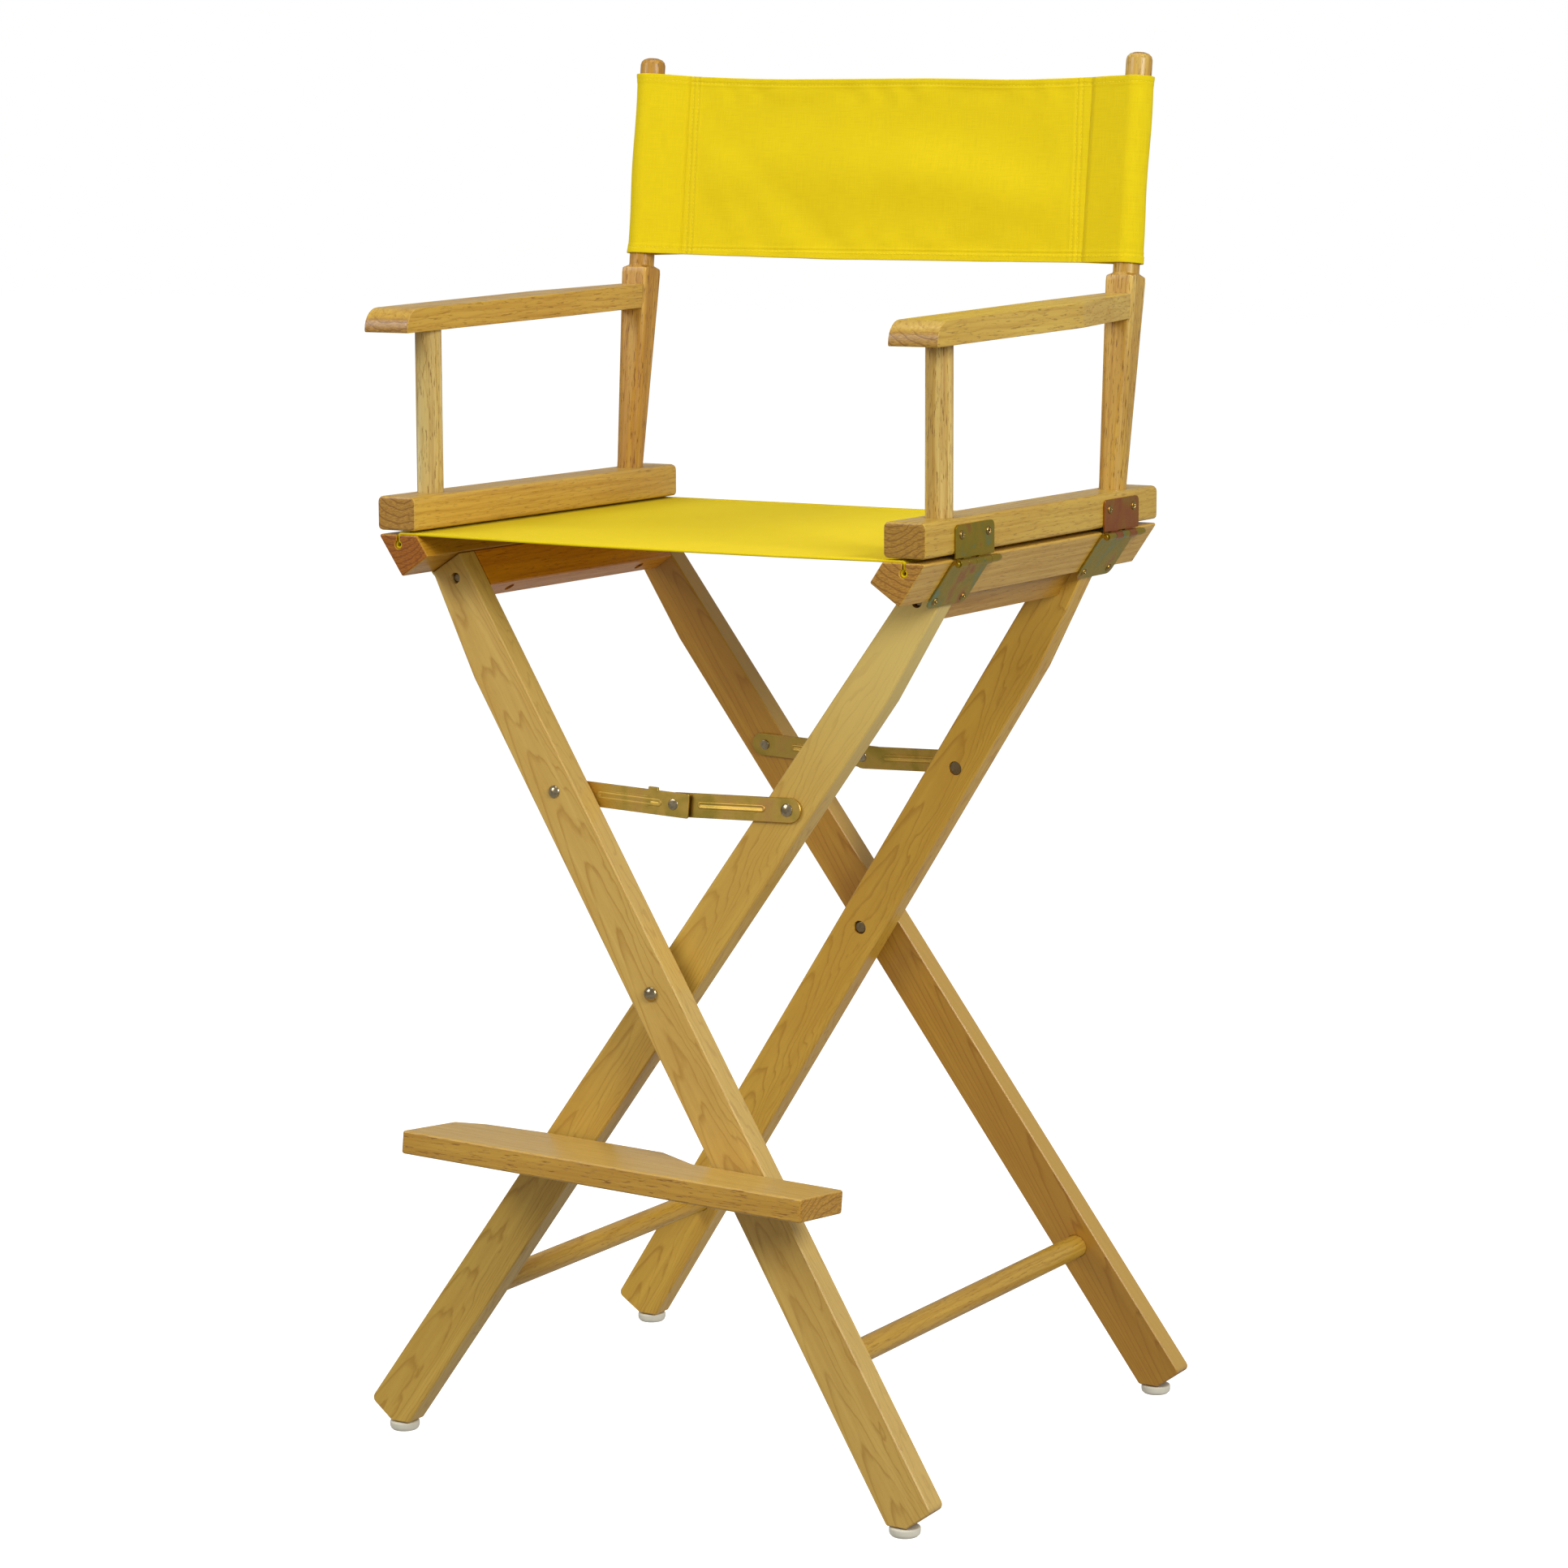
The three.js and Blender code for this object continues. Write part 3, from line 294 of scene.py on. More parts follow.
def canvas(name, tone, warp, weft, thread=0.00075, sheen=0.12, fade=0.0):
    """Plain-woven cotton canvas: raised threads both ways, slubs and a soft mottle; fade sets painted
    shade towards one side.
    """
    g = Graph(name)
    place = g.coords.outputs["Object"]
    u = g.vector("DOT_PRODUCT", place, Vector(warp).normalized())
    v = g.vector("DOT_PRODUCT", place, Vector(weft).normalized())
    turn = 2 * math.pi / thread
    wave_u = g.math("SINE", g.math("MULTIPLY", u, turn))
    wave_v = g.math("SINE", g.math("MULTIPLY", v, turn))
    over = g.math("MULTIPLY", wave_u, wave_v)

    def slubs(across_u, across_v, layer):
        place = g.combine(g.math("MULTIPLY", u, across_u), g.math("MULTIPLY", v, across_v), layer)
        return g.noise(place, 1.0, 2.0, 0.6)

    slub_u = slubs(1400.0, 55.0, 0.0)
    slub_v = slubs(55.0, 1400.0, 3.0)
    fuzz = g.noise(place, 1600.0, 2.0, 0.6)
    mottle = g.noise(place, 26.0, 3.0, 0.55)
    threads = g.math("ADD", g.math("MULTIPLY", slub_u, 0.5), g.math("MULTIPLY", slub_v, 0.5))
    colour = g.mix(g.ranged(threads, 0.40, 0.66, 0.0, 0.55), tone, tinted(tone, 0.84, 0.80, 0.6))
    colour = g.mix(g.ranged(mottle, 0.35, 0.70, 0.0, 0.30), colour, tinted(tone, 0.93, 0.90, 0.8))
    colour = g.mix(g.ranged(over, -1.0, 1.0, 0.0, 0.16, False), colour, tinted(tone, 0.75, 0.70, 0.4))
    # Painted shade: the cloth is darkened towards low u, along the warp, by up to fade.
    if fade:
        colour = g.mix(g.ranged(u, -0.22, 0.02, fade, 0.0), colour, (0.60, 0.58, 0.44), "MULTIPLY")
    rough_weave = g.math("ADD", g.math("MULTIPLY", threads, 1.2), g.math("MULTIPLY", fuzz, 0.5))
    height = g.math("ADD", g.math("MULTIPLY", over, 0.35), rough_weave)
    dull = g.ranged(fuzz, 0.3, 0.7, 0.78, 0.92)
    g.set(Base_Color=colour, Roughness=dull, Normal=g.bump(height, 0.00016, 0.7))
    g.shader.inputs["Specular IOR Level"].default_value = 0.18
    g.shader.inputs["Sheen Weight"].default_value = sheen
    g.shader.inputs["Sheen Roughness"].default_value = 0.5
    g.shader.inputs["Sheen Tint"].default_value = (1.0, 0.9, 0.15, 1.0)
    return g.material


# ---------------------------------------------------------------- wood of each piece
def leg_axes(side, row):
    """Along the leg and across its broad face; side is where its top end is, -1 left and 1 right."""
    along = Vector((side * math.sin(LEAN), -row * SPLAY * math.cos(LEAN), math.cos(LEAN)))
    across = Vector((math.cos(LEAN), 0.0, -side * math.sin(LEAN)))
    return along, across


GOLD = linear(202, 160, 62)
BROWN = linear(182, 138, 62)
ALONG_Y = (0, 1, 0)
UPRIGHT = (0, STICK_SLOPE, 1)
MAPLE = dict(ring=0.0072, tilt=0.12, flame=46.0, drift=(5.0, 30.0), sway=0.034, pores=0.10, streaks=0.18,
             figure=0.75)

POST = dict(pores=0.9, mottle=0.16, pale=1.0, lift=(1.25, 1.42, 1.90), streaks=0.8, ring=0.0045)

WOODS = {
    # Painted highlight: sides makes this leg's edges paler, as if lit.
    "leg_outer_front": dict(MAPLE, tone=linear(206, 168, 84), seed=1.0, sides=0.25),
    # Painted shade and painted highlight: this leg's tone is darker than the outer front leg's for the
    # shade it stands in, and sides makes its edges paler as if lit.
    "leg_outer_rear": dict(MAPLE, tone=linear(190, 140, 52), seed=2.0, sides=0.75),
    "leg_inner_front": dict(MAPLE, tone=linear(204, 165, 72), seed=3.0, bleach=0.70),
    "leg_inner_rear": dict(MAPLE, tone=linear(214, 168, 64), seed=4.0),
    "stretcher_left": dict(tone=GOLD, seed=5.0),
    "stretcher_right": dict(tone=GOLD, seed=6.0),
    "apron_left": dict(tone=linear(228, 152, 30), seed=7.0),
    "apron_right": dict(tone=linear(194, 144, 48), seed=8.0),
    "seat_rail_left": dict(tone=linear(192, 140, 36), seed=9.0, end=(0.74, 0.48, 0.30)),
    "seat_rail_right": dict(tone=linear(208, 164, 66), seed=10.0),
    "seat_dowel_left": dict(tone=BROWN, seed=11.0),
    "seat_dowel_right": dict(tone=BROWN, seed=12.0),
    "arm_rail_left": dict(tone=linear(206, 166, 72), seed=13.0),
    "arm_rail_right": dict(tone=linear(200, 163, 66), seed=14.0),
    "arm_left": dict(tone=linear(200, 160, 66), seed=15.0, pores=0.6),
    "arm_right": dict(tone=linear(204, 168, 70), seed=16.0, pores=0.6),
    "front_post_left": dict(POST, tone=linear(208, 182, 112), seed=17.0),
    "front_post_right": dict(POST, tone=linear(202, 168, 88), seed=18.0),
    "back_post_left": dict(POST, tone=linear(192, 145, 58), seed=19.0),
    "back_post_right": dict(POST, tone=linear(196, 156, 68), seed=20.0),
    # Painted highlight: faces makes the footrest's top and underside paler, as if lit from above.
    "footrest": dict(tone=linear(198, 152, 60), seed=21.0, pores=0.75, figure=0.35, depth=0.09, tilt=0.02,
                     faces=0.5, end=(1.0, 0.94, 0.60)),
    "footrest_peg": dict(tone=BROWN, seed=22.0),
}


def directions(node):
    """Along a wooden piece's grain and across its broad face."""
    if node.startswith("leg_"):
        side = -1 if "outer" in node else 1
        row = -1 if node.endswith("front") else 1
        return leg_axes(side, row)
    if node.startswith("back_post"):
        return Vector(UPRIGHT), Vector((1, 0, 0))
    if node.startswith("front_post"):
        return Vector((0, 0, 1)), Vector((1, 0, 0))
    if node == "footrest":
        return Vector((1, 0, 0)), Vector((0, 1, 0))
    return Vector(ALONG_Y), Vector((1, 0, 0))


def plating(*tones):
    """Screen colours that a plated metal drifts between, as scene-linear values."""
    return [linear(*tone) for tone in tones]


OLIVE = plating((186, 110, 58), (186, 156, 44), (172, 152, 44), (140, 158, 114))
ZINC = metal("zinc_olive", OLIVE, 0.34, 34.0)
ZINC_BROWN = metal("zinc_brown", plating((176, 98, 58), (186, 116, 56), (180, 140, 58)), 0.34, 30.0)
GOLDEN = plating((206, 158, 92), (208, 172, 84), (178, 152, 66))
ZINC_GOLD = metal("zinc_gold", GOLDEN, 0.36, 26.0, scratch=0.25)
PRESSED = metal("zinc_pressed", GOLDEN, 0.50, 26.0, scratch=0.10, metallic=0.9)
NICKEL = metal("nickel", plating((150, 134, 104), (182, 166, 134), (124, 108, 80)), 0.19, 90.0)
# Painted shade: a darker, rougher steel for the recessed bolts and screws, its darkness standing in for
# the shade of their holes.
SHADED_STEEL = metal("shaded_steel", plating((128, 108, 78), (150, 132, 100), (112, 92, 62)), 0.34, 160.0)
ZINC_SCREW = metal("zinc_screw", plating((150, 112, 60), (176, 150, 84), (140, 110, 60)), 0.30, 200.0)
# Painted shade: a near-black metal for the faces deep inside a screw head's cross recess.
RECESS_SHADE = metal("screw_recess_shade", plating((52, 40, 24), (70, 56, 36), (44, 34, 22)), 0.5, 300.0)
GLIDE = plastic("glide_white", linear(226, 220, 200))
YELLOW = linear(240, 213, 14)
# Painted shade: the back's canvas is the same cloth as the seat's but given a darker tone.
BACK_CLOTH = canvas("canvas_back", linear(230, 205, 14), (1, 0, 0), (0, STICK_SLOPE, 1))
# Painted shade: the seat's cloth is darkened towards its left side.
SEAT_CLOTH = canvas("canvas_seat", YELLOW, (1, 0, 0), (0, 1, 0), fade=0.25)
THREAD_BACK = canvas("thread_back", linear(244, 222, 60), (1, 0, 0), (0, STICK_SLOPE, 1), thread=0.0003)


def finish_node(node, material, bevel):
    """Joins the node's facets, rounds its edges by bevel metres and smooths its curves."""
    o = NODES[node]
    mesh = o.data
    custom = mesh.attributes.get("custom_normal")
    if custom:
        mesh.attributes.remove(custom)
    for polygon in mesh.polygons:
        polygon.use_smooth = True
    mesh.materials.clear()
    mesh.materials.append(material)
    weld = o.modifiers.new("join", "WELD")
    weld.merge_threshold = 0.00002
    flat = o.modifiers.new("flatten", "DECIMATE")
    flat.decimate_type = "DISSOLVE"
    flat.angle_limit = math.radians(1.0)
    if bevel:
        edge = o.modifiers.new("edges", "BEVEL")
        edge.width = bevel
        edge.segments = 3
        edge.limit_method = "ANGLE"
        edge.angle_limit = math.radians(38)
        edge.use_clamp_overlap = True
        edge.miter_outer = "MITER_ARC"
    shade = o.modifiers.new("shade", "WEIGHTED_NORMAL")
    shade.keep_sharp = False
    shade.weight = 60


for node, finish in WOODS.items():
    along, across = directions(node)
    slim = node.startswith(("seat_dowel", "footrest_peg"))
    low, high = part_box(node)
    surface = wood("wood_" + node, along=along, across=across, centre=(low + high) / 2, **finish)
    finish_node(node, surface, 0.0 if slim else 0.0008)

for node in NODES:
    if node.startswith("hinge_leaf_upper") and node.endswith("rear"):
        finish_node(node, ZINC_BROWN, 0.00025)
    elif node.startswith("hinge_"):
        finish_node(node, ZINC, 0.00025)
    elif node.startswith("brace_link"):
        finish_node(node, ZINC_GOLD, 0.00025)
    # Recessed bolts and screws: darker steel, painted shade.
    elif node.startswith(("leg_screw", "brace_rivet_right_rear", "scissor_bolt_rear")):
        finish_node(node, SHADED_STEEL, 0.0002)
    elif node.startswith(("brace_", "scissor_bolt", "footrest_bolt")):
        finish_node(node, NICKEL, 0.0002)
    elif node.startswith("glide_"):
        finish_node(node, GLIDE, 0.0006)


# ---------------------------------------------------------------- building meshes
def mesh_object(name, points, faces, material, smooth=True):
    """A new object in the scene, made from points and faces."""
    mesh = bpy.data.meshes.new(name)
    mesh.from_pydata([tuple(p) for p in points], [], faces)
    mesh.update()
    for polygon in mesh.polygons:
        polygon.use_smooth = smooth
    mesh.materials.append(material)
    o = bpy.data.objects.new(name, mesh)
    SCENE.collection.objects.link(o)
    return o


def grid_faces(n, m, base=0, flip=False):
    """Quads between the neighbouring points of an n by m grid whose first point is number base."""
    faces = []
    for i in range(n - 1):
        for j in range(m - 1):
            a, b = base + i * m + j, base + (i + 1) * m + j
            quad = [a, b, b + 1, a + 1]
            faces.append(quad[::-1] if flip else quad)
    return faces


def grid_normals(grid):
    """The direction out of the sheet at each grid point."""
    du = np.gradient(grid, axis=0)
    dv = np.gradient(grid, axis=1)
    normals = np.cross(du, dv)
    return normals / np.maximum(np.linalg.norm(normals, axis=2, keepdims=True), 1e-12)


def thick_sheet(grid, thickness):
    """A closed sheet of cloth on a grid of middle points; thickness is a number or one value per point."""
    n, m, _ = grid.shape
    normals = grid_normals(grid)
    half = (thickness if np.ndim(thickness) else np.full((n, m), thickness))[..., None] / 2
    top = (grid + normals * half).reshape(-1, 3)
    bottom = (grid - normals * half).reshape(-1, 3)
    faces = grid_faces(n, m) + grid_faces(n, m, n * m, True)
    rim = [i * m for i in range(n)] + [(n - 1) * m + j for j in range(1, m)]
    rim += [i * m + m - 1 for i in range(n - 2, -1, -1)] + [j for j in range(m - 2, 0, -1)]
    for k in range(len(rim)):
        a, b = rim[k], rim[(k + 1) % len(rim)]
        faces.append([b, a, a + n * m, b + n * m])
    return np.vstack([top, bottom]), faces


def stitch_line(place, start, end, pitch=0.0034, length=0.0025, radius=0.00032):
    """Thread stitches along a line from start to end in a sheet's own two coordinates.

    place maps those coordinates to a point and the sheet's outward direction.
    """
    points, faces = [], []
    start, end = np.array(start, float), np.array(end, float)
    run = np.linalg.norm(end - start)
    count = max(1, int(run / pitch))
    step = (end - start) / run
    for k in range(count):
        middle = start + step * (k + 0.5) * run / count
        base = len(points)
        for t, size in ((-0.5, 0.45), (-0.28, 0.95), (0.28, 0.95), (0.5, 0.45)):
            at = middle + step * t * length
            p, out = place(*at)
            q, _ = place(*(at + step * 0.0002))
            forward = (q - p) / max(np.linalg.norm(q - p), 1e-12)
            aside = np.cross(out, forward)
            sink = -0.9 if abs(t) > 0.4 else 0.25
            for angle in range(6):
                c, s = math.cos(angle * math.pi / 3), math.sin(angle * math.pi / 3)
                points.append(p + out * radius * (sink + size * s) + aside * radius * size * c)
        for ring in range(3):
            for j in range(6):
                a, b = base + ring * 6 + j, base + ring * 6 + (j + 1) % 6
                faces.append([a, b, b + 6, a + 6])
        faces.append([base + j for j in range(5, -1, -1)])
        faces.append([base + 18 + j for j in range(6)])
    return np.array(points), faces


def joined(*parts):
    """The points and faces of several meshes as those of one mesh."""
    points, faces, base = [], [], 0
    for p, f in parts:
        points.append(np.asarray(p, float))
        faces += [[i + base for i in face] for face in f]
        base += len(p)
    return np.vstack(points), faces


# ---------------------------------------------------------------- back canvas
STICK_LEAN = math.atan(STICK_SLOPE)
BACK_UP = np.array((0.0, math.sin(STICK_LEAN), math.cos(STICK_LEAN)))
BACK_OUT = np.array((0.0, -math.cos(STICK_LEAN), math.sin(STICK_LEAN)))
BACK_ORIGIN = np.array((0.0, STICK_Y_LOW, BACK_LOW))
BACK_LENGTH = (BACK_HIGH - BACK_LOW) / math.cos(STICK_LEAN)
# From the lower or upper edge: the hem's depth, the finer part of the grid, and the stitch line.
HEM = 0.0075
HEM_ZONE = 0.012
HEM_STITCH = 0.0052
SEAM_LINES = (0.0, 0.0050)
SEAM_AT = {-1: (0.1905, 0.1885), 1: (0.1835, 0.1880)}
SIDE_RISE = {-1: 0.0036, 1: -0.0018}
TOP_SAG = 0.0012
LOW_DROP = 0.0022
SLEEVE_RADIUS = STICK_RADIUS + 0.0004 + CLOTH / 2


def back_point(x, t, off):
    """The point x across, t up the back and off in front of the plane through both sticks."""
    return BACK_ORIGIN + np.array((x, 0.0, 0.0)) + BACK_UP * t + BACK_OUT * off


def seam_place(side, t):
    """Distance from the middle of the inner seam line on that side, at t up the back."""
    high, low = SEAM_AT[side]
    return low + (high - low) * min(1.0, max(0.0, t / BACK_LENGTH))


def near(value, centre, width):
    """A smooth bump: 1 at centre, fading to nothing over about twice the width."""
    return math.exp(-((value - centre) / width) ** 2)


def back_height(x, share):
    """Distance up the back for a share from 0 at the lower edge to 1 at the upper one, at that x."""
    hollow = 1 - min(1.0, (x / 0.215) ** 2)
    low = -LOW_DROP * min(1.0, max(0.0, (x + 0.20) / 0.15))
    rise = SIDE_RISE[-1 if x < 0 else 1] * min(1.0, max(0.0, (abs(x) - 0.10) / 0.13)) ** 1.5
    high = BACK_LENGTH - TOP_SAG * hollow - 0.0022 * near(x, 0.13, 0.06) + rise
    return low + (high - low) * share


def back_billow(x, t):
    """How far the panel's middle stands forward of the plane through the two sticks."""
    fade = 1 - min(1.0, (x / SEAM) ** 4)
    v = t / BACK_LENGTH
    slack = -0.0045 * fade * (0.45 + 0.55 * math.sin(math.pi * v))
    drape = 0.0054 * near(v, 0.36 + 0.13 * math.cos(9 * x + 0.4), 0.17) * (0.75 + 0.25 * math.sin(17 * x))
    left = 0.0026 * near(x + 0.60 * t, -0.128, 0.012) - 0.0020 * near(x + 0.60 * t, -0.152, 0.011)
    left += 0.0022 * near(x + 1.10 * t, -0.074, 0.016) - 0.0016 * near(x + 1.25 * t, -0.030, 0.018)
    right = 0.0024 * near(x - 0.55 * t, 0.122, 0.013) - 0.0018 * near(x - 0.62 * t, 0.094, 0.014)
    right += 0.0020 * near(x + 0.35 * t, 0.200, 0.013)
    pucker = 0.0010 * near(t, BACK_LENGTH - 0.013, 0.007) * math.sin(130 * x + 3 * math.sin(40 * x))
    pucker += 0.0007 * near(t, 0.014, 0.007) * math.sin(118 * x + 2 * math.sin(33 * x))
    ripple = 0.0011 * math.sin(19 * x + 31 * t) * math.sin(23 * t - 7 * x)
    ripple += 0.0004 * math.sin(61 * x - 47 * t) * math.sin(53 * t + 29 * x)
    return slack + (drape + 0.45 * (left + right) + pucker + ripple) * fade


def back_thickness(x, t, top):
    """Cloth thickness: doubled in the hems and at the side seams, pulled in along each stitch line."""
    edge = min(t, top - t)
    thick = CLOTH
    thick += 0.0009 / (1 + math.exp((edge - HEM) / 0.0004))
    seam = abs(x) - seam_place(-1 if x < 0 else 1, t)
    thick += 0.0009 / (1 + math.exp((-0.0030 - seam) / 0.0004))
    thick -= 0.0011 * near(edge, HEM_STITCH, 0.0011)
    for line in SEAM_LINES:
        thick -= 0.0013 * near(seam, line, 0.0012)
    return max(thick, 0.0006)


def spread(stops):
    """Even values over each stretch (low, high, count), with the last high at the end."""
    values = []
    for low, high, count in stops:
        values += list(np.linspace(low, high, count, endpoint=False))
    return values + [stops[-1][1]]


def back_surface(x, share, face):
    """A point on the front (1) or rear (-1) face of the panel, and the direction out of that face."""
    t = back_height(x, share)
    off = back_billow(x, t) + face * back_thickness(x, t, back_height(x, 1.0)) / 2
    return back_point(x, t, off), BACK_OUT * face


def panel():
    """The cloth between the two sleeves, and its stitches on both faces."""
    half = spread([(0.0, 0.150, 40), (0.150, 0.183, 14), (0.183, SEAM, 24)])
    xs = [-x for x in reversed(half[1:])] + half
    edge = spread([(0.0, HEM_ZONE / BACK_LENGTH, 18)])
    shares = edge[:-1] + spread([(edge[-1], 1 - edge[-1], 34)])[:-1] + [1 - s for s in reversed(edge)]
    grid = np.zeros((len(xs), len(shares), 3))
    thick = np.zeros((len(xs), len(shares)))
    for i, x in enumerate(xs):
        top = back_height(x, 1.0)
        for j, share in enumerate(shares):
            t = back_height(x, share)
            grid[i, j] = back_point(x, t, back_billow(x, t))
            thick[i, j] = back_thickness(x, t, top)
    cloth = thick_sheet(grid, thick)
    parts = []
    for face in (1, -1):
        def place(x, share, face=face):
            return back_surface(x, share, face)
        hem = HEM_STITCH / BACK_LENGTH
        for share in (hem, 1 - hem):
            parts.append(stitch_line(place, (-SEAM, share), (SEAM, share)))
        for side in (-1, 1):
            for line in SEAM_LINES:
                parts.append(stitch_column(side, line, face))
    threads = joined(*parts)
    return cloth, threads


def stitch_column(side, line, face):
    """One upright line of stitches beside a sleeve."""
    def place(a, b):
        return back_surface(side * (seam_place(side, a) + line) + b, a / BACK_LENGTH, face)
    return stitch_line(place, (0.0012, 0.0), (BACK_LENGTH - 0.0012, 0.0))


(cloth_points, cloth_faces), (thread_points, thread_faces) = panel()
back_panel = mesh_object("back_panel", cloth_points, cloth_faces, BACK_CLOTH)
back_threads = mesh_object("back_panel_threads", thread_points, thread_faces, THREAD_BACK)


def sleeve_path():
    """The sleeve's middle line, seam to seam round the stick: (distance from the middle, forward)."""
    reach = STICK_X - SEAM + 0.0012
    start = math.asin((SLEEVE_RADIUS - CLOTH / 2) / reach)
    path = []
    touch = math.pi / 2 + start
    tip = np.array((SEAM - 0.0012, CLOTH / 2))
    arc = []
    for k in range(41):
        angle = touch - 2 * touch * k / 40
        reached = np.array((math.cos(angle), math.sin(angle))) * SLEEVE_RADIUS
        arc.append(np.array((STICK_X, 0.0)) + reached)
    for k in range(8):
        path.append(tip + (arc[0] - tip) * k / 8)
    path += arc
    tail = np.array((tip[0], -tip[1]))
    for k in range(1, 9):
        path.append(arc[-1] + (tail - arc[-1]) * k / 8)
    return path


def sleeve(side):
    """The sleeve's cloth and its stitches on one side: -1 left, 1 right."""
    path = sleeve_path()
    edge_share = HEM_ZONE / BACK_LENGTH
    shares = spread([(0.0, edge_share, 14), (edge_share, 1 - edge_share, 22), (1 - edge_share, 1.0, 14)])
    grid = np.zeros((len(path), len(shares), 3))
    thick = np.zeros((len(path), len(shares)))
    phase = 1.3 if side < 0 else 4.1
    for i, (x, off) in enumerate(path):
        for j, share in enumerate(shares):
            t = back_height(side * x, share)
            edge = min(t, back_height(side * x, 1.0) - t)
            around = i / (len(path) - 1)
            swell = math.sin(math.pi * around) ** 2
            ease = 0.0005 * swell * (1 + math.sin(60 * t + phase + 5 * around))
            ease += 0.0005 * swell * near(edge, 0.0, 0.004)
            centre = np.array((STICK_X, 0.0))
            away = np.array((x, off)) - centre
            away = away / np.linalg.norm(away)
            px, poff = np.array((x, off)) + away * ease
            grid[i, j] = back_point(side * px, t, poff)
            thick[i, j] = CLOTH + 0.0008 / (1 + math.exp((edge - HEM) / 0.0004))
            thick[i, j] -= 0.0006 * near(edge, HEM_STITCH, 0.0009)
    if side < 0:
        grid = grid[::-1]
        thick = thick[::-1]
    cloth = thick_sheet(grid, thick)
    normals = grid_normals(grid)
    threads = []
    n = len(path)
    columns = [k / BACK_LENGTH for k in (HEM_STITCH, BACK_LENGTH - HEM_STITCH)]
    lengths = np.concatenate([[0.0], np.cumsum(np.linalg.norm(np.diff(grid[:, 0], axis=0), axis=1))])

    for share in columns:
        j = int(np.argmin([abs(s - share) for s in shares]))

        def place(a, b, j=j):
            i = float(np.interp(a, lengths, range(n)))
            low = min(int(i), n - 2)
            f = i - low
            p = grid[low, j] * (1 - f) + grid[low + 1, j] * f
            out = normals[low, j] * (1 - f) + normals[low + 1, j] * f
            return p + out * thick[low, j] / 2, out

        threads.append(stitch_line(place, (0.001, 0.0), (lengths[-1] - 0.001, 0.0)))
    return cloth, joined(*threads)


sleeves = {}
for side, word in sides():
    (points, faces), (thread_p, thread_f) = sleeve(side)
    tube = mesh_object(f"back_sleeve_{word}", points, faces, BACK_CLOTH)
    seam = mesh_object(f"back_sleeve_threads_{word}", thread_p, thread_f, THREAD_BACK)
    sleeves[word] = (tube, seam)

# ---------------------------------------------------------------- seat canvas
SEAT_LOW, SEAT_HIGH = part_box("seat_canvas")
SEAT_FRONT, SEAT_REAR = SEAT_LOW.y, SEAT_HIGH.y
RAIL_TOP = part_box("seat_rail_right")[1].z
RAIL_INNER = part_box("seat_rail_right")[0].x
SEAT_MID = RAIL_TOP + CLOTH / 2 + 0.0001
# Radius of the hem's loop round its dowel, and thickness of the doubled cloth in the slot.
BORE_HEM = 0.00265
SLOT_CLOTH = 0.0017
# From the front or rear edge: the seat hem's depth, the finer part of the grid, and the stitches.
SEAT_HEM, SEAT_ZONE, SEAT_STITCH = 0.0095, 0.014, 0.0070
# How far from the middle the stitch lines run, on top and underneath between the rails.
STITCHED_TOP, STITCHED_UNDER = 0.2355, 0.204


def seat_profile():
    """The sheet's middle line from the hem round the right dowel up the slot to the chair's middle."""
    path = []
    for k in range(25):
        angle = math.radians(60 - 330 * k / 24)
        path.append((SLOT_X + BORE_HEM * math.cos(angle), SLOT_Z + BORE_HEM * math.sin(angle)))
    path.append((SLOT_X, SLOT_Z + 0.0045))
    bend = 0.0016
    turn_z = SEAT_MID - bend
    path.append((SLOT_X, turn_z))
    for k in range(1, 7):
        angle = math.radians(15 * k)
        path.append((SLOT_X - bend + bend * math.cos(angle), turn_z + bend * math.sin(angle)))
    for x in (0.2325, 0.228, 0.223, 0.218, 0.213, 0.209, 0.205, 0.198, 0.190):
        path.append((x, SEAT_MID))
    path += [(x, SEAT_MID) for x in np.linspace(0.180, 0.0, 31)]
    return path


def seat_sag(x, y):
    """Drop of the sheet below the rails' top, in metres."""
    inside = max(0.0, 1 - (x / RAIL_INNER) ** 2)
    along = (y - SEAT_FRONT) / (SEAT_REAR - SEAT_FRONT)
    drop = (0.0012 + 0.0030 * math.sin(math.pi * along)) * inside
    lift = 0.0012 * near(along, 1.0, 0.05) * inside
    ripple = 0.00035 * math.sin(21 * x + 2.0 * math.sin(9 * y)) * math.sin(17 * y + 3 * x) * inside
    return drop - lift - ripple


def seat_thickness(y):
    """Cloth thickness: doubled in the front and rear hems, pulled in along their stitches."""
    edge = min(y - SEAT_FRONT, SEAT_REAR - y)
    thick = CLOTH + 0.0009 / (1 + math.exp((edge - SEAT_HEM) / 0.0005))
    return thick - 0.0007 * near(edge, SEAT_STITCH, 0.0009)


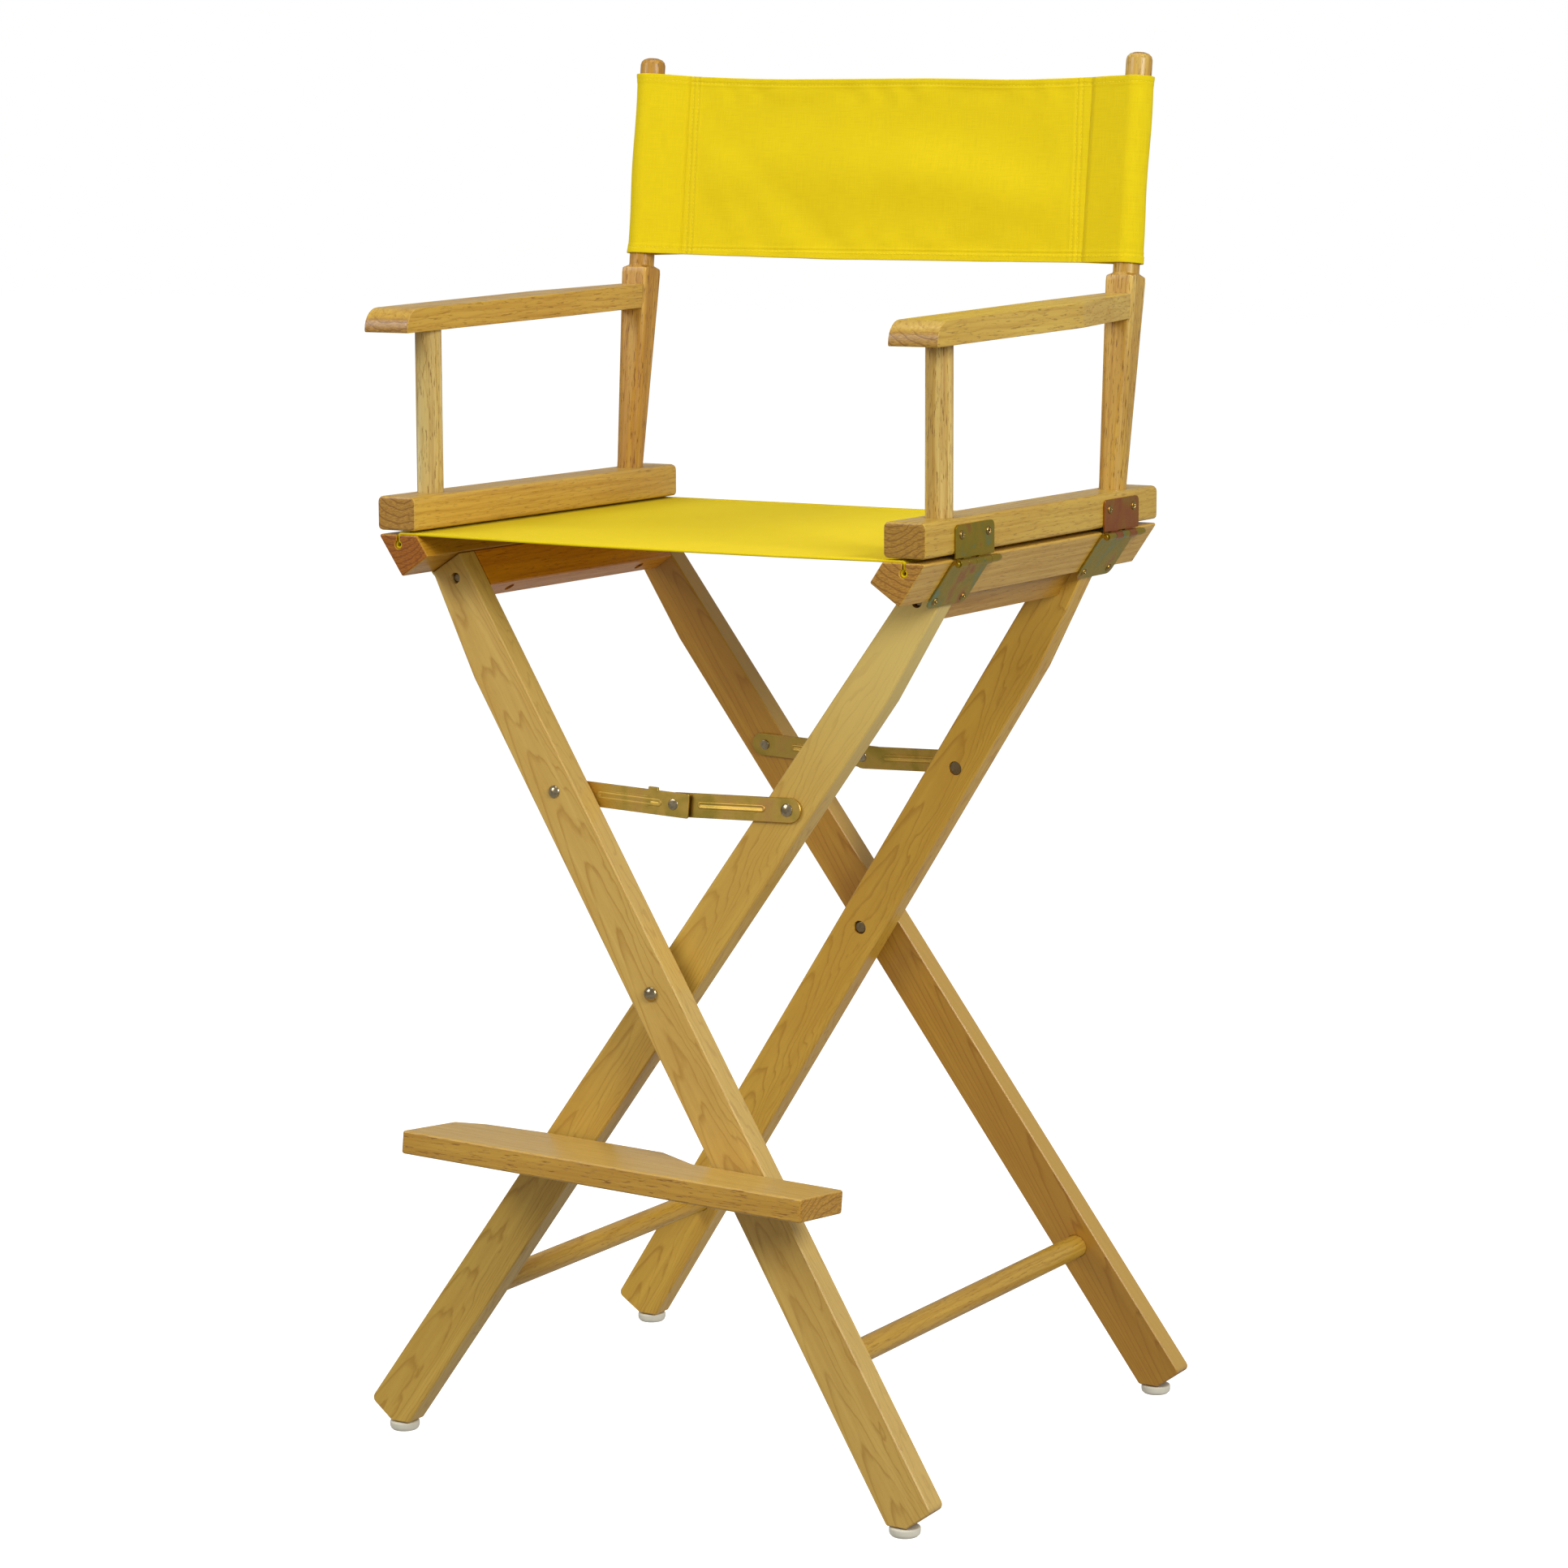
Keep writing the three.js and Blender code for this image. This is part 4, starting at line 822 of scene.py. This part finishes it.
def seat_sheet():
    """The seat's cloth, and its stitches on both faces."""
    right = seat_profile()
    profile = right[:-1] + [(-x, z) for x, z in reversed(right)]
    zone_front, zone_rear = SEAT_FRONT + SEAT_ZONE, SEAT_REAR - SEAT_ZONE
    ys = spread([(SEAT_FRONT, zone_front, 16), (zone_front, zone_rear, 40), (zone_rear, SEAT_REAR, 16)])
    grid = np.zeros((len(profile), len(ys), 3))
    thick = np.zeros((len(profile), len(ys)))
    flat_from = RAIL_TOP - 0.002
    for i, (x, z) in enumerate(profile):
        for j, y in enumerate(ys):
            on_top = z > flat_from
            grid[i, j] = (x, y, z - (seat_sag(x, y) if on_top else 0.0))
            thick[i, j] = seat_thickness(y) if on_top else SLOT_CLOTH
    cloth = thick_sheet(grid, thick)

    def top_point(x, y):
        z = SEAT_MID - seat_sag(x, y) + seat_thickness(y) / 2
        return np.array((x, y, z)), np.array((0.0, 0.0, 1.0))

    def under_point(x, y):
        z = SEAT_MID - seat_sag(x, y) - seat_thickness(y) / 2
        return np.array((x, y, z)), np.array((0.0, 0.0, -1.0))

    threads = []
    for y in (SEAT_FRONT + SEAT_STITCH, SEAT_REAR - SEAT_STITCH):
        threads.append(stitch_line(top_point, (-STITCHED_TOP, y), (STITCHED_TOP, y)))
        threads.append(stitch_line(under_point, (-STITCHED_UNDER, y), (STITCHED_UNDER, y)))
    return cloth, joined(*threads)


(seat_points, seat_faces), (seat_thread_points, seat_thread_faces) = seat_sheet()
seat = mesh_object("seat_sheet", seat_points, seat_faces, SEAT_CLOTH)
seat_threads = mesh_object("seat_threads", seat_thread_points, seat_thread_faces, SEAT_CLOTH)


# ---------------------------------------------------------------- screws
def screw_head(name, centre, outward, radius, height, turn, material, crossed=True):
    """A domed head, crossed by a recess or plain, standing on centre and facing outward."""
    z = Vector(outward).normalized()
    x = z.orthogonal().normalized()
    x = Matrix.Rotation(turn, 3, z) @ x
    y = z.cross(x)
    spokes, shells = 48, 12
    points, faces, depths = [], [], []

    def at(u, v, h):
        return Vector(centre) + x * u + y * v + z * h

    slot_half, slot_long = radius * 0.14, radius * 0.56
    for r in range(shells + 1):
        share = r / shells
        for k in range(spokes):
            angle = 2 * math.pi * k / spokes
            u, v = radius * share * math.cos(angle), radius * share * math.sin(angle)
            h = height * math.sqrt(max(0.0, 1 - (share ** 2.4) * 0.96))
            inside = 0.0
            for p, q in ((abs(u), abs(v)), (abs(v), abs(u))) if crossed else ():
                if p < slot_long and q < slot_half * 1.5:
                    flank = min(1.0, (slot_half * 1.5 - q) / (slot_half * 0.5))
                    inside = max(inside, flank * min(1.0, (slot_long - p) / slot_half))
            points.append(at(u, v, h - inside * height * 0.65))
            depths.append(inside)
    for r in range(shells):
        for k in range(spokes):
            a, b = r * spokes + k, r * spokes + (k + 1) % spokes
            faces.append([a, a + spokes, b + spokes, b])
    base = len(points)
    for k in range(spokes):
        angle = 2 * math.pi * k / spokes
        points.append(at(radius * math.cos(angle), radius * math.sin(angle), -0.0004))
    rim = shells * spokes
    for k in range(spokes):
        a, b = rim + k, rim + (k + 1) % spokes
        faces.append([a, base + k, base + (k + 1) % spokes, b])
    faces.append([base + k for k in range(spokes - 1, -1, -1)])
    head = mesh_object(name, points, faces, material)
    # Painted shade: the faces deep in the cross recess take the dark second material.
    head.data.materials.append(RECESS_SHADE)
    for polygon in head.data.polygons:
        if all(i < len(depths) and depths[i] > 0.5 for i in polygon.vertices):
            polygon.material_index = 1
    return head


def leg_point(s, d, side):
    """A point s up the leg from the scissor bolt and d outward across it."""
    x = side * (s * math.sin(LEAN) + d * math.cos(LEAN))
    return x, SCISSOR_Z + s * math.cos(LEAN) - d * math.sin(LEAN)


# Radius and height of a head; then each row of screws, on the side frame or as leg_point's s and d.
SCREW_SIZE = (0.0036, 0.0014)
SUNK_SIZE = (0.0030, 0.0012)
UPPER_SCREW_X, UPPER_SCREW_Z = 0.2600, 0.7833
LOWER_SCREW = (0.4034, 0.0136)
APRON_SCREW = (0.3768, -0.009)
APRON_SCREW_YS = (-0.0787, 0.1213)
screws = []
for side, word in sides():
    frame_body = "outer_frame" if side < 0 else "inner_frame"
    for row, row_word in rows():
        low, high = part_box(f"hinge_leaf_upper_{word}_{row_word}")
        middle = (low.y + high.y) / 2
        for k, turn in ((-1, 0.3), (1, 1.1)):
            y = middle + k * HINGE_HALF_PITCH
            ending = f"{word}_{row_word}_{'a' if k < 0 else 'b'}"
            place = (side * UPPER_SCREW_X, y, UPPER_SCREW_Z)
            upper = screw_head(f"hinge_screw_upper_{ending}", place, (side, 0, 0),
                               *SCREW_SIZE, turn + side, ZINC_SCREW)
            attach(upper, f"{word}_side")
            x, z = leg_point(*LOWER_SCREW, side)
            place = (x, middle + k * (HINGE_HALF_PITCH + 0.001), z)
            outward = (side * math.cos(LEAN), 0, -math.sin(LEAN))
            lower = screw_head(f"hinge_screw_lower_{ending}", place, outward,
                               *SCREW_SIZE, turn * 2 + side, ZINC_SCREW)
            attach(lower, frame_body)
            screws += [upper, lower]
    for y in APRON_SCREW_YS:
        x, z = leg_point(*APRON_SCREW, side)
        outward = (-side * math.sin(LEAN), 0, -math.cos(LEAN))
        sunk = screw_head(f"apron_screw_{word}_{'front' if y < 0 else 'rear'}", (x, y, z), outward,
                          *SUNK_SIZE, 0.7 + side, ZINC_SCREW)
        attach(sunk, frame_body)
        screws.append(sunk)

# ---------------------------------------------------------------- pressed ribs on the brace links
def pressed_rib(name, start, end, outward, half_width, height):
    """A long low rib with round ends between two points on a link's face."""
    start, end, z = Vector(start), Vector(end), Vector(outward).normalized()
    x = (end - start).normalized()
    y = z.cross(x)
    run = (end - start).length
    rim = []
    for centre, turn in ((run, -90), (0.0, 90)):
        for k in range(13):
            angle = math.radians(turn + 15 * k)
            rim.append((centre + half_width * math.cos(angle), half_width * math.sin(angle)))
    points, faces = [], []
    profile = ((1.0, -0.0002), (1.0, 0.0), (0.90, 0.55 * height), (0.78, 0.95 * height), (0.66, height),
               (0.52, 0.80 * height), (0.36, 0.22 * height), (0.20, 0.10 * height), (0.0, 0.10 * height))
    for share, rise in profile:
        for u, v in rim:
            core = min(run, max(0.0, u))
            p = start + x * (core + (u - core) * share) + y * (v * share) + z * rise
            points.append(p)
    n = len(rim)
    for r in range(len(profile) - 1):
        for k in range(n):
            a, b = r * n + k, r * n + (k + 1) % n
            faces.append([a, b, b + n, a + n])
    faces.append([k for k in range(n - 1, -1, -1)])
    faces.append([(len(profile) - 1) * n + k for k in range(n)])
    return mesh_object(name, points, faces, PRESSED)


RIB_HALF, RIB_HEIGHT, RIB_LOW = 0.0030, 0.0006, 0.0001
KNEE_HEAD_SIZE = (0.0046, 0.0007)
RIB_SPANS = {"left": (0.30, 0.86), "right": (0.22, 0.77)}
BRACE_X, BRACE_Z = 0.1029, 0.5562
KNEE_X, KNEE_Z = -0.0017, 0.5528
ribs, knee_heads = [], []
for row, row_word in rows():
    tilt = -row * math.atan(SPLAY)
    outward = Vector((0, -math.cos(tilt), math.sin(tilt)))
    for side, word in sides():
        corners = [v.co for v in NODES[f"brace_link_{word}_{row_word}"].data.vertices]
        reach = max(outward.dot(p) for p in corners if abs(p.x - side * 0.060) < 0.030)

        def on_face(point, reach=reach, outward=outward):
            """The point moved along Y onto the link's face."""
            return Vector((point.x, (outward.z * point.z - reach) / -outward.y, point.z))

        rivet, knee = Vector((side * BRACE_X, 0, BRACE_Z)), Vector((KNEE_X, 0, KNEE_Z))
        first, last = RIB_SPANS[word]
        start = on_face(rivet.lerp(knee, first)) - outward * 0.00003
        end = on_face(rivet.lerp(knee, last)) - outward * 0.00003
        height = RIB_LOW if (word, row_word) == ("left", "front") else RIB_HEIGHT
        rib = pressed_rib(f"brace_rib_{word}_{row_word}", start, end, outward, RIB_HALF, height)
        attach(rib, f"{row_word}_{word}_link")
        ribs.append(rib)
        if word == ("left" if row < 0 else "right"):
            seat_of_head = on_face(knee) - outward * 0.00035
            head = screw_head(f"brace_knee_head_{row_word}", seat_of_head, outward,
                              *KNEE_HEAD_SIZE, 0.0, NICKEL, crossed=False)
            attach(head, f"{row_word}_{word}_link")
            knee_heads.append(head)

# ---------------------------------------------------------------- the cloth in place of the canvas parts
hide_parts("back_canvas")
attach(back_panel, "left_side")
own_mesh(back_panel)
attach(back_threads, "left_side")
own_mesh(back_threads)
for word, (tube, seam) in sleeves.items():
    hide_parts("back_canvas")
    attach(tube, f"{word}_side")
    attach(seam, f"{word}_side")
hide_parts("seat_canvas")
for cloth in (seat, seat_threads):
    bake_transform(cloth)

# ---------------------------------------------------------------- floor, light and camera
def floor_material():
    g = Graph("floor_pale")
    place = g.coords.outputs["Object"]
    cloud = g.noise(place, 1.5, 2.0, 0.5)
    g.set(Base_Color=g.mix(cloud, (0.86, 0.86, 0.86), (0.89, 0.89, 0.89)))
    g.shader.inputs["Roughness"].default_value = 0.9
    g.shader.inputs["Specular IOR Level"].default_value = 0.1
    g.shader.inputs["Emission Color"].default_value = (1.0, 1.0, 1.0, 1.0)
    g.shader.inputs["Emission Strength"].default_value = 0.74
    return g.material


FLOOR = 20.0
# The floor is set below the lowest point the inner feet swing down to when the chair folds.
FLOOR_Z = -0.06
CORNERS = ((-FLOOR, -FLOOR), (FLOOR, -FLOOR), (FLOOR, FLOOR), (-FLOOR, FLOOR))
CORNER_POINTS = [(x, y, FLOOR_Z) for x, y in CORNERS]
floor = mesh_object("floor", CORNER_POINTS, [[0, 1, 2, 3]], floor_material(), smooth=False)
floor.visible_diffuse = False
floor.visible_glossy = False


def area_light(name, place, target, size, power, colour=(1, 1, 1)):
    data = bpy.data.lights.new(name, "AREA")
    data.shape = "SQUARE"
    data.size = size
    data.energy = power
    data.color = colour
    o = bpy.data.objects.new(name, data)
    o.location = place
    o.rotation_mode = "QUATERNION"
    o.rotation_quaternion = (Vector(target) - Vector(place)).to_track_quat("-Z", "Y")
    SCENE.collection.objects.link(o)
    return o


# Each light: name, place, what it points at, side length in metres, watts.
area_light("key", (-1.7, -2.2, 2.2), (0, 0, 0.85), 1.2, 36)
area_light("top", (-0.2, -0.2, 2.9), (0, 0, 0.6), 1.4, 14)
area_light("side", (2.6, -1.1, 2.0), (0, 0, 0.7), 1.2, 60)

world = bpy.data.worlds.new("studio")
world.use_nodes = True
tree = world.node_tree
background = tree.nodes["Background"]
background.inputs[0].default_value = (1.0, 1.0, 1.0, 1.0)
path = tree.nodes.new("ShaderNodeLightPath")
strength = tree.nodes.new("ShaderNodeMapRange")
strength.inputs["To Min"].default_value = 0.38
strength.inputs["To Max"].default_value = 1.0
tree.links.new(path.outputs["Is Camera Ray"], strength.inputs["Value"])
tree.links.new(strength.outputs[0], background.inputs[1])
SCENE.world = world

camera_data = bpy.data.cameras.new("camera")
camera_data.lens = 98.35
camera_data.sensor_width = 36.0
camera = bpy.data.objects.new("camera", camera_data)
SCENE.collection.objects.link(camera)
SCENE.camera = camera
YAW, PITCH, ROLL = -0.5412, 0.1521, -0.0031
level = math.cos(PITCH)
forward = Vector((math.sin(YAW) * level, math.cos(YAW) * level, -math.sin(PITCH)))
camera.location = (1.842, -3.0277, 1.095)
camera.rotation_mode = "QUATERNION"
turned = Matrix.Rotation(ROLL, 3, "Z").to_quaternion()
camera.rotation_quaternion = forward.to_track_quat("-Z", "Y") @ turned
SCENE.view_settings.view_transform = "Standard"
SCENE.view_settings.look = "None"
